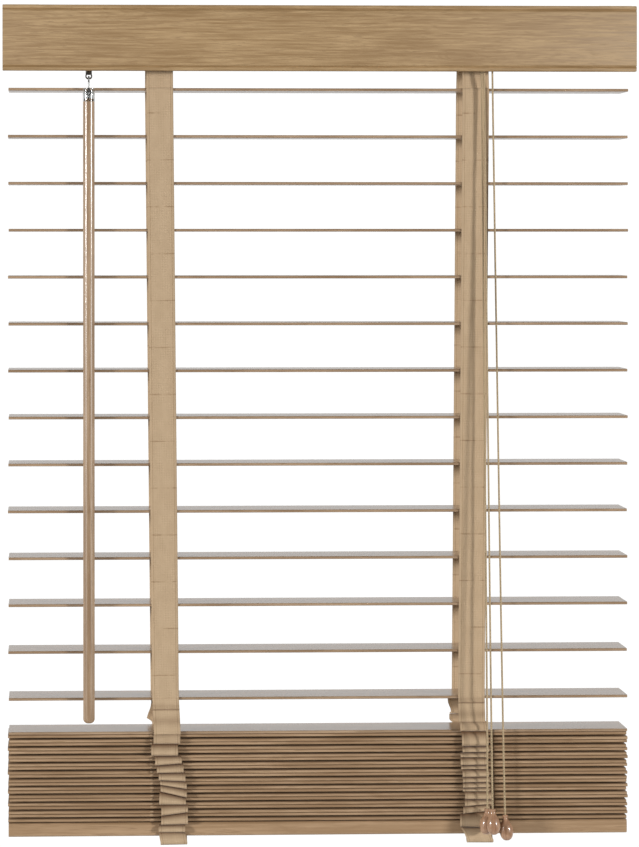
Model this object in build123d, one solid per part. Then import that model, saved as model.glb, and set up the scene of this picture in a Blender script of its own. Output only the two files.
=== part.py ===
from build123d import *
from math import asin, atan2, cos, hypot, pi, radians, sin, tan
import os

# Wooden venetian blind with cloth ladder tapes, a tilt wand and three pull cords.
# Millimetres, +Z up, +X to the right as seen from the room, the room side at -Y.
# The origin is the middle of the ceiling-screw pattern, on the brackets' top faces.
# The blind hangs partly lowered: the upper slats are open, the rest lie stacked on the bottom rail.

# slats
slat_length = 590.0
slat_width = 50.0
slat_thickness = 2.7
slat_pitch = 44.5
open_slats = 14
stacked_slats = 23
resting_slats = 7  # stacked slats that never leave the bottom rail
first_slat_z = -79.8
stack_top_z = -689.4
stack_pair_gap = 0.3  # between the two slats of a stacked pair
stack_rung_gap = 1.84  # between pairs, where the folded rungs lie
rout_length = 24.0  # cord slot in a slat, across the slat
rout_width = 5.0
open_shifts = (0.3, -0.2, 0.1, 0.4, -0.3, 0.2, -0.1, 0.3, 0.0, -0.4, 0.2, 0.1, -0.2, 0.3)  # along X
stack_shifts = (
    0.2, -0.5, 0.6, 0.1, -0.7, 0.4, -0.2, 0.8, -0.4, 0.3, -0.8, 0.5, 0.0, -0.3, 0.7, -0.6, 0.2, 0.9,
    -0.5, 0.4, -0.1, 0.6, -0.3,
)

# ladder tapes
ladder_x = (-151.5, 149.3)  # left and right ladder, at the headrail
ladder_x_low = (-146.0, 145.6)  # at the lowest open slat
ladder_x_rail = (-139.5, 149.3)  # at the bottom rail
tape_width = 25.4
tape_thickness = 0.8
tape_gap = 0.3  # tape to slat edge
fold_depth = 5.7  # how far the folded tape stands out in front of the stack
tape_tail = 8.0  # folded tape end below the bottom rail

# bottom rail
rail_thickness = 13.0
rail_gap = 1.1  # lowest slat to rail
rail_round = 3.0
plug_radius = 9.0
plug_thickness = 2.4

# headrail, a steel channel that is open at the top
head_length = 588.0
head_depth = 57.0
head_height = 41.0
head_top_z = -2.0
head_wall = 1.0
head_lip = 4.0
ladder_opening = 46.0  # depth of the openings over the ladders
notch_height = 6.0  # cut in the front bottom corner for the cord lock
notch_depth = 6.0
cut_room = 0.4  # around what comes through the channel
cap_flange = 1.6
cap_depth = 12.0

# installation brackets and their sliding covers
sheet = 1.5
bracket_length = 30.0
bracket_gap = 0.5
bracket_floor_gap = 0.3
gate_gap = 0.3
gate_lip = 3.0
gate_overhang = 3.0
gate_grip = 3.0
grip_inset = 6.0
screw_hole_r = 2.25
ceiling_hole_y = 13.0
wall_hole_z = (-12.0, -33.0)

# valance
valance_length = 600.0
valance_height = 62.0
valance_top_z = -1.0
valance_front_y = -46.0
valance_back_y = -37.0
bead_height = 3.8
groove_depth = 1.8
chamfer_height = 1.4
bead_set_back = 0.6
clip_x = (-240.0, 0.0, 240.0)
clip_width = 20.0
clip_height = 34.0
clip_wall = 2.0
clip_hook = 4.0

# tilt rod, tape drums and cradles
rod_z = -22.5
rod_flats = 6.0
rod_play = 0.05
drum_radius = 15.1
drum_length = 26.0
journal_radius = 5.5
journal_play = 0.05
cradle_wall = 2.5
cradle_gap = 0.4
cradle_base = 2.5
cradle_front_y = -23.2
cradle_wall_y = (-17.0, 22.0)
cradle_window = 43.2
cradle_wall_rise = 6.0  # above the rod's middle
cord_gap_y = (-4.0, 7.0)  # where the lift cords pass through a cradle
cord_gap_height = 4.6

# wand tilter: a single-start worm on the stem drives a wheel on the tilt rod
wheel_teeth = 12
tooth_module = 1.25
addendum = 1.0
dedendum = 1.3
worm_pitch_radius = 4.0
worm_turns = 3
wheel_face = 4.0
tooth_thickness = 1.42
pressure_angle = 20.0
stem_radius = 3.0
stem_play = 0.06
housing_wall = 1.6
housing_length = 20.0
boss_radius = 5.2
boss_span = (24.0, 35.0)  # along the stem, from the middle of its eye
housing_front_y = -25.5
worm_end = 1.5  # plain core past each end of the thread

# wand
wand_x = -218.8
wand_y = -34.0
eye_seat_z = -70.3  # the rim of the stem's eye that the hook hangs on
eye_radius = 3.3
eye_hole = 2.2
eye_thickness = 1.4
wire_radius = 0.75
hook_loop_radius = 2.4
hook_drop = 0.5  # middle of the hook's upper loop below the rim
pivot_z = -83.0  # where the wand hangs in the hook's lower loop
link_radius = 2.0
link_play = 0.1
sleeve_top_z = -79.5
sleeve_bottom_z = -91.7
sleeve_radius = 5.65
sleeve_wall = 1.0
sleeve_play = 0.07
rod_radius = 5.5
wand_bottom_z = -679.8
screw_depth = 12.0

# cord lock, its roller and the cords
cord_radius = 0.9
lock_x = (146.0, 178.0)
lock_wall = 1.2
lock_back_y = -19.6
lock_top_z = -6.0
lock_floor_z = -31.0
lock_heel = (-23.6, -36.0)
snout_front_y = -33.0
snout_back_y = -27.0
snout_bottom_z = -50.0
roller_radius = 2.2
roller_play = 0.2
roller_floor_z = -30.0
lift_cord_y = 1.3
left_cord_run_y = 4.2  # the left ladder's cord passes behind the others
cord_run_z = -40.6
cord_bend = 3.0
inlet_x = (169.0, 171.0, 173.0)
inlet_z = -28.0
exit_y = -31.0

# pull cords: each a route from the lock's snout down into its tassel's neck
pull_routes = (
    ((154.0, -31.0, -47.0), (154.0, -31.0, -58.0), (160.0, -38.4, -752.0), (159.2, -38.6, -766.5)),
    ((156.4, -31.0, -47.0), (156.4, -31.0, -58.0), (162.2, -50.5, -751.0), (162.9, -50.9, -764.7)),
    ((164.2, -31.0, -47.0), (164.2, -31.0, -58.0), (176.0, -32.4, -759.0), (177.3, -32.6, -773.5)),
)
tassel_height = 24.3
tassel_radius = 6.3
tassel_neck = 2.3
tassel_bore = 1.1
cord_insert = 4.0  # length of cord inside the tassel's neck

# places worked out from the sizes above
edge_radius = slat_thickness / 2 - 0.05
tape_inner_y = slat_width / 2 + tape_gap
tape_outer_y = tape_inner_y + tape_thickness
last_open_z = first_slat_z - (open_slats - 1) * slat_pitch
tape_top_z = first_slat_z + 4.0
tape_low_z = last_open_z - 4.0
head_bottom_z = head_top_z - head_height
head_front_y = -head_depth / 2
wheel_radius = tooth_module * wheel_teeth / 2
worm_pitch = pi * tooth_module
centre_distance = wheel_radius + worm_pitch_radius
drum_half = drum_length / 2
cradle_half = drum_half + cradle_gap + cradle_wall
stack_pitch_pair = 2 * slat_thickness + stack_pair_gap + stack_rung_gap


def stack_slat_z(index):
    """Centre height of a stacked slat, counted from 0 at the top of the stack."""
    pairs, odd = divmod(index, 2)
    step = slat_thickness + stack_pair_gap
    return stack_top_z - slat_thickness / 2 - pairs * stack_pitch_pair - odd * step


rail_top_z = stack_slat_z(stacked_slats - 1) - slat_thickness / 2 - rail_gap
rail_bottom_z = rail_top_z - rail_thickness
tape_bottom_z = rail_bottom_z - tape_tail

# the stem's line runs from the eye's rim, up and back, past the tilt rod at the gears' centre distance
seat_to_rod = (-wand_y, rod_z - eye_seat_z)
stem_lean = atan2(*seat_to_rod) - asin(centre_distance / hypot(*seat_to_rod))
stem_dir = Vector(0, sin(stem_lean), cos(stem_lean))
stem_side = Vector(0, -cos(stem_lean), sin(stem_lean))  # from the tilt rod towards the stem
eye_seat = Vector(wand_x, wand_y, eye_seat_z)
eye_point = eye_seat + stem_dir * (eye_radius + eye_hole) / 2
worm_point = Vector(wand_x, 0, rod_z) + stem_side * centre_distance


# building blocks
def block(x0, x1, y0, y1, z0, z1):
    """A box between two corners."""
    middle = Pos((x0 + x1) / 2, (y0 + y1) / 2, (z0 + z1) / 2)
    return middle * Box(abs(x1 - x0), abs(y1 - y0), abs(z1 - z0))


def prism_x(outline, x0, x1):
    """A closed outline in y and z, drawn out along X."""
    plane = Plane(origin=(x0, 0, 0), x_dir=(0, 1, 0), z_dir=(1, 0, 0))
    return extrude(plane * make_face(outline), x1 - x0)


def rod_x(radius, x0, x1, y, z):
    """A round bar along X."""
    return Pos((x0 + x1) / 2, y, z) * Rot(0, 90, 0) * Cylinder(radius, abs(x1 - x0))


def bar(start, end, radius):
    """A round bar from one point to another."""
    start, end = Vector(start), Vector(end)
    plane = Plane(origin=start, z_dir=end - start)
    return extrude(plane * Circle(radius), (end - start).length)


def stem_bar(start, end, radius):
    """A round bar on the tilter stem's line, between two distances from its eye."""
    return bar(eye_point + stem_dir * start, eye_point + stem_dir * end, radius)


def ring(centre, normal, radius, wire):
    """A closed ring of round wire."""
    return Plane(origin=centre, z_dir=normal) * Torus(radius, wire)


def hex_bar(x0, x1, flats):
    """A hexagonal bar on the tilt rod's axis."""
    plane = Plane(origin=(x0, 0, rod_z), x_dir=(0, 1, 0), z_dir=(1, 0, 0))
    return extrude(plane * RegularPolygon(flats / 2, 6, major_radius=False), x1 - x0)


def leaning_strip(x_top, x_bottom, z_top, z_bottom, y0, y1):
    """A tape-wide strip whose centre line leans from one x to another."""
    half = tape_width / 2
    corners = Polyline(
        (x_top - half, z_top), (x_top + half, z_top),
        (x_bottom + half, z_bottom), (x_bottom - half, z_bottom), close=True,
    )
    plane = Plane(origin=(0, y0, 0), x_dir=(1, 0, 0), z_dir=(0, -1, 0))
    return extrude(plane * make_face(corners), y0 - y1)


def save(node, *solids):
    """Write one sub-part, with its solids side by side."""
    shapes = [s for shape in solids for s in shape.solids()]
    part = shapes[0] if len(shapes) == 1 else Compound(children=shapes)
    export_step(part, f"parts/{node}.step")


# slats and bottom rail
def slat_blank(thickness, rounding):
    """A wooden board with eased long edges and a cord slot at each ladder."""
    board = Box(slat_length, slat_width, thickness)
    board = fillet(board.edges().filter_by(Axis.X), rounding)
    for x in ladder_x:
        slot = extrude(SlotOverall(rout_length, rout_width, rotation=90), thickness, both=True)
        board -= Pos(x, 0, 0) * slot
    return board


def bottom_rail():
    """The thick rail: cord holes right through, and a recess for each plug underneath."""
    rail = Box(slat_length, slat_width, rail_thickness)
    rail = fillet(rail.edges().filter_by(Axis.X), rail_round)
    for x in ladder_x:
        slot = extrude(SlotOverall(rout_length / 2, rout_width, rotation=90), rail_thickness, both=True)
        rail -= Pos(x, 0, 0) * slot
    return Pos(0, 0, (rail_top_z + rail_bottom_z) / 2) * rail


def rail_plugs():
    """Round plugs pressed on under the rail, over the cord knots and tape ends."""
    plugs = []
    for x in ladder_x:
        plug = Pos(x, 0, rail_bottom_z - plug_thickness / 2) * Cylinder(plug_radius, plug_thickness)
        plugs.append(fillet(plug.edges().group_by(Axis.Z)[0], plug_thickness / 3))
    return plugs


# ladder tapes
def ladder_tapes(side):
    """The straight tapes past the open slats; side is -1 in front and 1 behind."""
    return [
        leaning_strip(top, low, tape_top_z, tape_low_z, side * tape_inner_y, side * tape_outer_y)
        for top, low in zip(ladder_x, ladder_x_low)
    ]


def tape_tops():
    """The tape ends that slant from the drums out to the first slat's edges."""
    strips = []
    for x in ladder_x:
        for side in (-1, 1):
            inner = drum_radius + tape_gap
            outline = Polyline(
                (side * inner, rod_z), (side * (inner + tape_thickness), rod_z),
                (side * tape_outer_y, tape_top_z), (side * tape_inner_y, tape_top_z), close=True,
            )
            strips.append(prism_x(outline, x - tape_width / 2, x + tape_width / 2))
    return strips


def tape_folds():
    """The tapes below the lowest open slat, folded up against the stack and tucked under the rail."""
    folds = []
    deep = tape_inner_y + fold_depth
    for low, rail in zip(ladder_x_low, ladder_x_rail):
        for side in (-1, 1):
            outline = Polyline(
                (side * tape_inner_y, tape_low_z), (side * tape_outer_y, tape_low_z),
                (side * tape_outer_y, stack_top_z + 4), (side * deep, stack_top_z - 3),
                (side * deep, rail_bottom_z), (side * (tape_inner_y + 2), tape_bottom_z),
                (side * tape_inner_y, tape_bottom_z), close=True,
            )
            widest = max(abs(low), abs(rail)) + tape_width
            profile = prism_x(outline, -widest, widest)
            lean = leaning_strip(
                low, rail, tape_low_z + 1, tape_bottom_z - 1, side * (tape_inner_y - 1), side * (deep + 1)
            )
            folds.append(profile & lean)
    return folds


# headrail
def headrail():
    """The channel, with openings for the ladders, the tilter's boss and the cord lock's snout."""
    half, wall = head_length / 2, head_wall
    y, z0, z1 = head_depth / 2, head_bottom_z, head_top_z
    outline = Polyline(
        (-y, z0), (y, z0), (y, z1), (y - head_lip, z1), (y - head_lip, z1 - wall),
        (y - wall, z1 - wall), (y - wall, z0 + wall), (-y + wall, z0 + wall), (-y + wall, z1 - wall),
        (-y + head_lip, z1 - wall), (-y + head_lip, z1), (-y, z1), close=True,
    )
    rail = prism_x(outline, -half, half)
    for x in ladder_x:
        opening = drum_half + cradle_gap
        reach = ladder_opening / 2
        rail -= block(x - opening, x + opening, -reach, reach, z0 - 1, z0 + wall + 1)
    x0, x1 = lock_x[0] - cut_room, lock_x[1] + cut_room
    rail -= block(x0, x1, -y - 1, -y + notch_depth, z0 - 1, z0 + notch_height)
    rail -= stem_bar(boss_span[0] - 4, boss_span[1] + 1, boss_radius + cut_room)
    return rail


def end_caps():
    """A flanged plug in each end of the headrail."""
    caps = []
    for side in (-1, 1):
        end = side * head_length / 2
        y = head_depth / 2 - head_wall
        flange = block(end, end + side * cap_flange, -y - 1, y + 1, head_bottom_z, head_top_z)
        low, high = head_bottom_z + head_wall, head_top_z - head_wall
        plug = block(end - side * cap_depth, end, -y, y, low, high)
        plug -= block(end - side * (cap_depth + 1), end - side * 2, -y + 2, y - 2, low + 2, high - 2)
        caps.append(flange + plug)
    return caps


# installation brackets
bracket_outer_x = head_length / 2 + cap_flange + bracket_gap + sheet
bracket_inner_x = bracket_outer_x - bracket_length
bracket_back_y = head_depth / 2 + bracket_gap + sheet
gate_back_y = head_front_y - bracket_gap
gate_front_y = gate_back_y - sheet
bracket_front_y = gate_front_y - gate_gap - sheet
bracket_bottom_z = head_bottom_z - bracket_floor_gap - sheet
ceiling_hole_x = (bracket_outer_x + bracket_inner_x) / 2


def bracket(side):
    """A sheet-metal box that is open to the front, with screw holes in its top and back."""
    x0, x1 = side * bracket_inner_x, side * bracket_outer_x
    wall_in = side * (bracket_outer_x - sheet)
    front, back, low = bracket_front_y, bracket_back_y, bracket_bottom_z
    box = block(x0, x1, front, back, -sheet, 0)
    box += block(x0, x1, back - sheet, back, low, 0)
    box += block(x0, x1, gate_back_y + gate_gap, back, low, low + sheet)
    box += block(wall_in, x1, front, back, low, 0)
    box += block(wall_in - side * gate_lip, x1, front, front + sheet, low, 0)
    inner_lip = block(x0 - side * sheet, x0 + side * gate_lip, front, front + sheet, low, 0)
    inner_rib = block(x0 - side * sheet, x0, front, gate_back_y, low, 0)
    box += inner_lip + inner_rib
    middle = side * ceiling_hole_x
    for y in (-ceiling_hole_y, ceiling_hole_y):
        box -= Pos(middle, y, 0) * Cylinder(screw_hole_r, 4 * sheet)
    for z in wall_hole_z:
        box -= Pos(middle, back, z) * Rot(90, 0, 0) * Cylinder(screw_hole_r, 4 * sheet)
    return box


def bracket_gate(side):
    """The sliding cover that closes a bracket's front, with a folded grip at its foot."""
    x0 = side * (bracket_inner_x + gate_gap)
    x1 = side * (bracket_outer_x - sheet - gate_gap)
    top, low = -sheet - gate_gap, bracket_bottom_z - gate_overhang
    plate = block(x0, x1, gate_front_y, gate_back_y, low, top)
    inset = side * grip_inset
    grip = block(x0 + inset, x1 - inset, gate_back_y, gate_back_y + gate_grip, low, low + sheet)
    return plate + grip


# valance
def valance():
    """A flat wooden board with a bead and a groove along its top and bottom edges."""
    top, low = valance_top_z, valance_top_z - valance_height
    face, back = valance_front_y, valance_back_y
    groove = face + groove_depth
    bead_face = face + bead_set_back
    lines = [
        Line((back, low), (back, top)),
        Line((back, top), (groove, top)),
        ThreePointArc((groove, top), (bead_face, top - bead_height / 2), (groove, top - bead_height)),
        Line((groove, top - bead_height), (face, top - bead_height - chamfer_height)),
        Line((face, top - bead_height - chamfer_height), (face, low + bead_height + chamfer_height)),
        Line((face, low + bead_height + chamfer_height), (groove, low + bead_height)),
        ThreePointArc((groove, low + bead_height), (bead_face, low + bead_height / 2), (groove, low)),
        Line((groove, low), (back, low)),
    ]
    return prism_x(lines, -valance_length / 2, valance_length / 2)


def valance_clips():
    """Plastic clips that hook over the headrail's front lip and carry the valance's back."""
    clips = []
    for x in clip_x:
        x0, x1 = x - clip_width / 2, x + clip_width / 2
        top = head_top_z + clip_wall / 2
        low = top - clip_height
        clip = block(x0, x1, valance_back_y, valance_back_y + clip_wall, low, top)
        clip += block(x0, x1, head_front_y - clip_wall, head_front_y, low, top)
        for z in (top, low + clip_height / 2, low + clip_wall):
            clip += block(x0, x1, valance_back_y, head_front_y, z - clip_wall, z)
        hook_end = head_front_y + head_lip + clip_wall
        clip += block(x0, x1, head_front_y - clip_wall, hook_end, head_top_z, top)
        clip += block(x0, x1, hook_end - clip_wall, hook_end, head_top_z - clip_hook, top)
        clips.append(clip)
    return clips


# tilt mechanism
def tilt_rod():
    """The hexagonal steel rod from the tilter to the right-hand drum."""
    return hex_bar(wand_x - housing_length / 2 - 2, ladder_x[1] + cradle_half + 3, rod_flats)


def rod_hole(x0, x1):
    """The hexagonal hole in whatever the tilt rod turns."""
    return hex_bar(x0, x1, rod_flats + 2 * rod_play)


def tape_drums():
    """The two drums that pull one tape up as they let the other down."""
    drums = []
    for x in ladder_x:
        half = cradle_half + 0.5
        drum = rod_x(drum_radius, x - drum_half, x + drum_half, 0, rod_z)
        drum += rod_x(journal_radius, x - half, x + half, 0, rod_z)
        drums.append(drum - rod_hole(x - half - 1, x + half + 1))
    return drums


def drum_cradles():
    """Plastic cradles in the headrail: a bearing each side of the drum, open at the top."""
    cradles = []
    base_z = head_bottom_z + head_wall
    back = head_depth / 2 - head_wall
    for x in ladder_x:
        inner = drum_half + cradle_gap
        cradle = block(x - cradle_half, x + cradle_half, cradle_front_y, back, base_z, base_z + cradle_base)
        wall_top = rod_z + cradle_wall_rise
        for side in (-1, 1):
            near, far = x + side * inner, x + side * cradle_half
            wall = block(near, far, *cradle_wall_y, base_z, wall_top)
            play = journal_radius + journal_play
            wall -= rod_x(play, near - side, far + side, 0, rod_z)
            wall -= block(near - side, far + side, -play, play, rod_z, wall_top + 1)
            cradle += wall
        window = cradle_window / 2
        cradle -= block(x - inner, x + inner, -window, window, base_z - 1, base_z + cradle_base + 1)
        wide = cradle_half + 1
        cradle -= block(x - wide, x + wide, *cord_gap_y, base_z - 1, base_z + cord_gap_height)
        cradles.append(cradle)
    return cradles


def trapezoid(thickness, inner, outer):
    """A rack tooth: thickness at the pitch line, from inner below it to outer above it."""
    slope = tan(radians(pressure_angle))
    root, tip = thickness / 2 + inner * slope, thickness / 2 - outer * slope
    return Polyline((-inner, -root), (outer, -tip), (outer, tip), (-inner, root), close=True)


def tilter_gear():
    """The worm wheel, its teeth set so that a gap faces the worm."""
    x0, x1 = wand_x - wheel_face / 2, wand_x + wheel_face / 2
    half = housing_length / 2
    wheel = rod_x(wheel_radius - dedendum, x0, x1, 0, rod_z)
    tooth = make_face(trapezoid(tooth_thickness, dedendum + 0.3, addendum))
    for k in range(wheel_teeth):
        turn = Rot(0, 0, (k + 0.5) * 360 / wheel_teeth)
        plane = Plane(origin=(x0, 0, rod_z), x_dir=stem_side, z_dir=(1, 0, 0))
        wheel += extrude(plane * (turn * Pos(wheel_radius, 0, 0) * tooth), wheel_face)
    wheel += rod_x(journal_radius, wand_x - half, wand_x + half, 0, rod_z)
    return wheel - rod_hole(wand_x - half - 1, wand_x + half + 1)


def tilter_stem():
    """The worm, its shaft, and the eye at the shaft's foot that carries the wand's hook."""
    length = worm_turns * worm_pitch
    core = worm_pitch_radius - dedendum
    axis = Plane(origin=worm_point, x_dir=stem_side, z_dir=stem_dir)
    path = Helix(worm_pitch, length, worm_pitch_radius, center=(0, 0, -length / 2))
    start = Plane(origin=path @ 0, x_dir=(1, 0, 0), z_dir=path % 0)
    tooth = make_face(trapezoid(tooth_thickness, dedendum + 0.4, addendum))
    thread = sweep(start * tooth, path, is_frenet=True)
    worm = Cylinder(core, length + 2 * worm_end) + thread
    stem = axis * worm
    worm_reach = (worm_point - eye_point).length
    stem += stem_bar((eye_radius + eye_hole) / 2, worm_reach - length / 2 - worm_end + 0.1, stem_radius)
    plane = Plane(origin=eye_point, x_dir=(1, 0, 0), z_dir=stem_side)
    disc = plane * Cylinder(eye_radius, eye_thickness)
    return (stem + disc) - plane * Cylinder(eye_hole, 2 * eye_radius)


def tilter_housing():
    """The gearbox in the headrail, with a boss that guides the stem out of the bottom."""
    x0, x1 = wand_x - housing_length / 2, wand_x + housing_length / 2
    floor = head_bottom_z + head_wall
    room = wheel_radius + addendum + 1
    y0, y1 = housing_front_y, room + housing_wall
    top = worm_point.Z + worm_turns * worm_pitch / 2 + 4
    case = block(x0, x1, y0, y1, floor, top)
    wall = housing_wall
    case -= block(x0 + wall, x1 - wall, y0 + wall, y1 - wall, floor + 1.5 * wall, top - wall)
    case += stem_bar(*boss_span, boss_radius)
    case -= stem_bar(boss_span[0] - 2, boss_span[1] + 5, stem_radius + stem_play)
    case -= rod_x(journal_radius + journal_play, x0 - 1, x1 + 1, 0, rod_z)
    return case


# wand
def wand_hook():
    """The wire link: a loop in the stem's eye, a short shank and a loop in the wand's eye."""
    upper_z = eye_seat_z - hook_drop
    lower_z = pivot_z + link_radius
    upper = ring((wand_x, wand_y, upper_z), (1, 0, 0), hook_loop_radius, wire_radius)
    lower = ring((wand_x, wand_y, lower_z), (1, 0, 0), link_radius, wire_radius)
    shank = bar(
        (wand_x, wand_y, upper_z - hook_loop_radius), (wand_x, wand_y, lower_z + link_radius), wire_radius
    )
    return upper + lower + shank


def wand_sleeve():
    """The clear cap over the hook's lower loop, loose on the rod's spigot."""
    height = sleeve_top_z - sleeve_bottom_z
    tube = Pos(wand_x, wand_y, sleeve_bottom_z + height / 2) * Cylinder(sleeve_radius, height)
    tube = fillet(tube.edges().group_by(Axis.Z)[-1], sleeve_wall * 0.8)
    return tube - Pos(wand_x, wand_y, sleeve_bottom_z) * Cylinder(sleeve_radius - sleeve_wall, 3 * height)


def wand_rod():
    """The turned wooden rod with its spigot and rounded foot, and the screw eye in its top."""
    spigot = sleeve_radius - sleeve_wall - sleeve_play
    spigot_top = sleeve_bottom_z + 2.7
    rod = bar((wand_x, wand_y, wand_bottom_z), (wand_x, wand_y, sleeve_bottom_z), rod_radius)
    rod = fillet(rod.edges().group_by(Axis.Z)[0], rod_radius * 0.8)
    rod += bar((wand_x, wand_y, sleeve_bottom_z), (wand_x, wand_y, spigot_top), spigot)
    eye_top = pivot_z + 2 * wire_radius + link_play
    eye_middle = eye_top - link_radius
    eye = ring((wand_x, wand_y, eye_middle), (0, 1, 0), link_radius, wire_radius)
    foot = (wand_x, wand_y, spigot_top - screw_depth)
    screw = bar((wand_x, wand_y, eye_middle - link_radius), foot, wire_radius)
    rod -= bar((wand_x, wand_y, spigot_top + 1), foot, wire_radius)
    return rod, eye + screw


# cord lock and cords
def cord_lock_housing():
    """A slim lock in the headrail's front, its snout reaching out at the bottom front corner."""
    front = head_front_y + head_wall + 0.1
    low = head_bottom_z
    brow = low + notch_height - 2 * link_play - cut_room
    outline = Polyline(
        (front, lock_top_z), (lock_back_y, lock_top_z), (lock_back_y, lock_floor_z), lock_heel,
        (lock_heel[0], low - 2), (snout_back_y, snout_bottom_z), (snout_front_y, snout_bottom_z),
        (snout_front_y, low - 1), (head_front_y, brow), (front, brow), close=True,
    )
    lock = prism_x(outline, *lock_x)
    x0, x1 = lock_x[0] + lock_wall, lock_x[1] - lock_wall
    y0, y1 = front + lock_wall, lock_back_y - lock_wall
    lock -= block(x0, x1, y0, y1, lock_top_z - 2, roller_floor_z)
    slot = cord_radius + 0.7
    lock -= block(
        inlet_x[0] - slot, inlet_x[2] + slot, y1 - 1, lock_back_y + 1, inlet_z - slot, inlet_z + slot
    )
    left, right = pull_routes[0][0][0], pull_routes[-1][0][0]
    throat = cord_radius + 0.3
    lock -= block(left - throat, right + throat, exit_y - throat, exit_y + throat, snout_bottom_z - 1, low + 1)
    return lock


def cord_lock_roller():
    """The knurled brass roller that nips the cords against the lock's wall."""
    middle_y = (head_front_y + head_wall + 0.1 + lock_back_y) / 2
    x0, x1 = lock_x[0] + lock_wall + roller_play, lock_x[1] - lock_wall - roller_play
    roller_z = roller_floor_z + roller_radius + roller_play
    roller = rod_x(roller_radius, x0, x1, middle_y, roller_z)
    for k in range(3):
        x = x0 + (k + 1) * (x1 - x0) / 4
        groove = rod_x(roller_radius + 1, x - 0.5, x + 0.5, middle_y, roller_z)
        groove -= rod_x(roller_radius - 0.3, x - 1, x + 1, middle_y, roller_z)
        roller -= groove
    return roller


def tube(points, radii, radius):
    """A cord: straight runs joined by tangent arcs."""
    path = FilletPolyline(*points, radius=radii)
    start = Plane(origin=path @ 0, z_dir=path % 0)
    return sweep(start * Circle(radius), path), path.length


def lift_cords():
    """Three cords from the rail, up through the slats, along the headrail and into the lock."""
    foot = rail_bottom_z + 3.0
    left, right = ladder_x
    starts = (
        (right, -lift_cord_y, -lift_cord_y), (right, lift_cord_y, lift_cord_y), (left, 0.0, left_cord_run_y)
    )
    cords = []
    for (x, y, run_y), inlet in zip(starts, inlet_x):
        points = [
            (x, y, foot), (x, y, cord_run_z), (inlet, run_y, cord_run_z), (inlet, lock_back_y - 0.8, inlet_z)
        ]
        solid, _ = tube(points, [cord_bend, cord_bend], cord_radius)
        cords.append(solid)
    return cords


def gentle_radii(points):
    """Arc radii for a free cord: 0.45 of the shorter run over the tangent of half the turn."""
    radii = []
    for before, corner, after in zip(points, points[1:], points[2:]):
        run_in, run_out = Vector(corner) - Vector(before), Vector(after) - Vector(corner)
        half_turn = radians(run_in.get_angle(run_out)) / 2
        radii.append(0.45 * min(run_in.length, run_out.length) / tan(half_turn))
    return radii


def pull_cord(points):
    """One free cord, hanging from the lock's snout into its tassel."""
    radii = gentle_radii(points)
    solid, length = tube(points, radii, cord_radius)
    print("pull cord: length", round(length, 1), "arc radii", [round(r) for r in radii])
    print("  volume", round(solid.volume, 1), "section x length", round(pi * cord_radius**2 * length, 1))
    return solid


def tassel(points):
    """A turned wooden bell whose bore takes the end of its cord."""
    end, before = Vector(points[-1]), Vector(points[-2])
    hang = (end - before).normalized()
    top = end - hang * cord_insert
    neck, body, height = tassel_neck, tassel_radius, tassel_height
    profile = [
        Line((tassel_bore, 0), (neck, 0)),
        Spline(
            (neck, 0), (neck + 0.5, -0.27 * height), (0.86 * body, -0.47 * height), (body, -0.68 * height),
            (0.88 * body, -0.9 * height), (0.62 * body, -height),
            tangents=((0.02, -1), (-1, -0.35)),
        ),
        Line((0.62 * body, -height), (tassel_bore, -height)),
        Line((tassel_bore, -height), (tassel_bore, 0)),
    ]
    bell = revolve(Plane.XZ * make_face(profile), Axis.Z)
    return Plane(origin=top, x_dir=(1, 0, 0), z_dir=hang * -1) * bell


def build_all():
    """Write every sub-part."""
    os.makedirs("parts", exist_ok=True)
    save("headrail", headrail())
    save("headrail_end_caps", *end_caps())
    save("brackets", bracket(-1), bracket(1))
    save("bracket_gate_left", bracket_gate(-1))
    save("bracket_gate_right", bracket_gate(1))
    save("valance", valance())
    save("valance_clips", *valance_clips())
    save("tilter_housing", tilter_housing())
    save("tilter_gear", tilter_gear())
    save("tilter_stem", tilter_stem())
    save("tilt_rod", tilt_rod())
    save("tape_drums", *tape_drums())
    save("drum_cradles", *drum_cradles())
    save("cord_lock_housing", cord_lock_housing())
    save("cord_lock_roller", cord_lock_roller())
    save("wand_hook", wand_hook())
    save("wand_sleeve", wand_sleeve())
    save("wand_rod", *wand_rod())
    save("lift_cords", *lift_cords())
    for number, route in enumerate(pull_routes, 1):
        save(f"pull_cord_{number}", pull_cord(route))
    save("tassels", *[tassel(route) for route in pull_routes])
    save("front_ladder_tapes", *ladder_tapes(-1))
    save("back_ladder_tapes", *ladder_tapes(1))
    save("tape_tops", *tape_tops())
    save("tape_folds", *tape_folds())
    save("bottom_rail", bottom_rail())
    save("rail_plugs", *rail_plugs())
    slat = slat_blank(slat_thickness, edge_radius)
    for k in range(open_slats):
        save(f"slat_{k + 1:02d}", Pos(open_shifts[k], 0, first_slat_z - k * slat_pitch) * slat)
    stack = [Pos(stack_shifts[k], 0, stack_slat_z(k)) * slat for k in range(stacked_slats)]
    released = stacked_slats - resting_slats
    for k in range(released):
        save(f"stack_slat_{k + 1:02d}", stack[k])
    save("rail_slats", *stack[released:])


build_all()
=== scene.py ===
"""A wooden venetian blind: its looks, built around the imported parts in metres."""

import math

import bmesh
import bpy
from mathutils import Matrix, Vector


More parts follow.
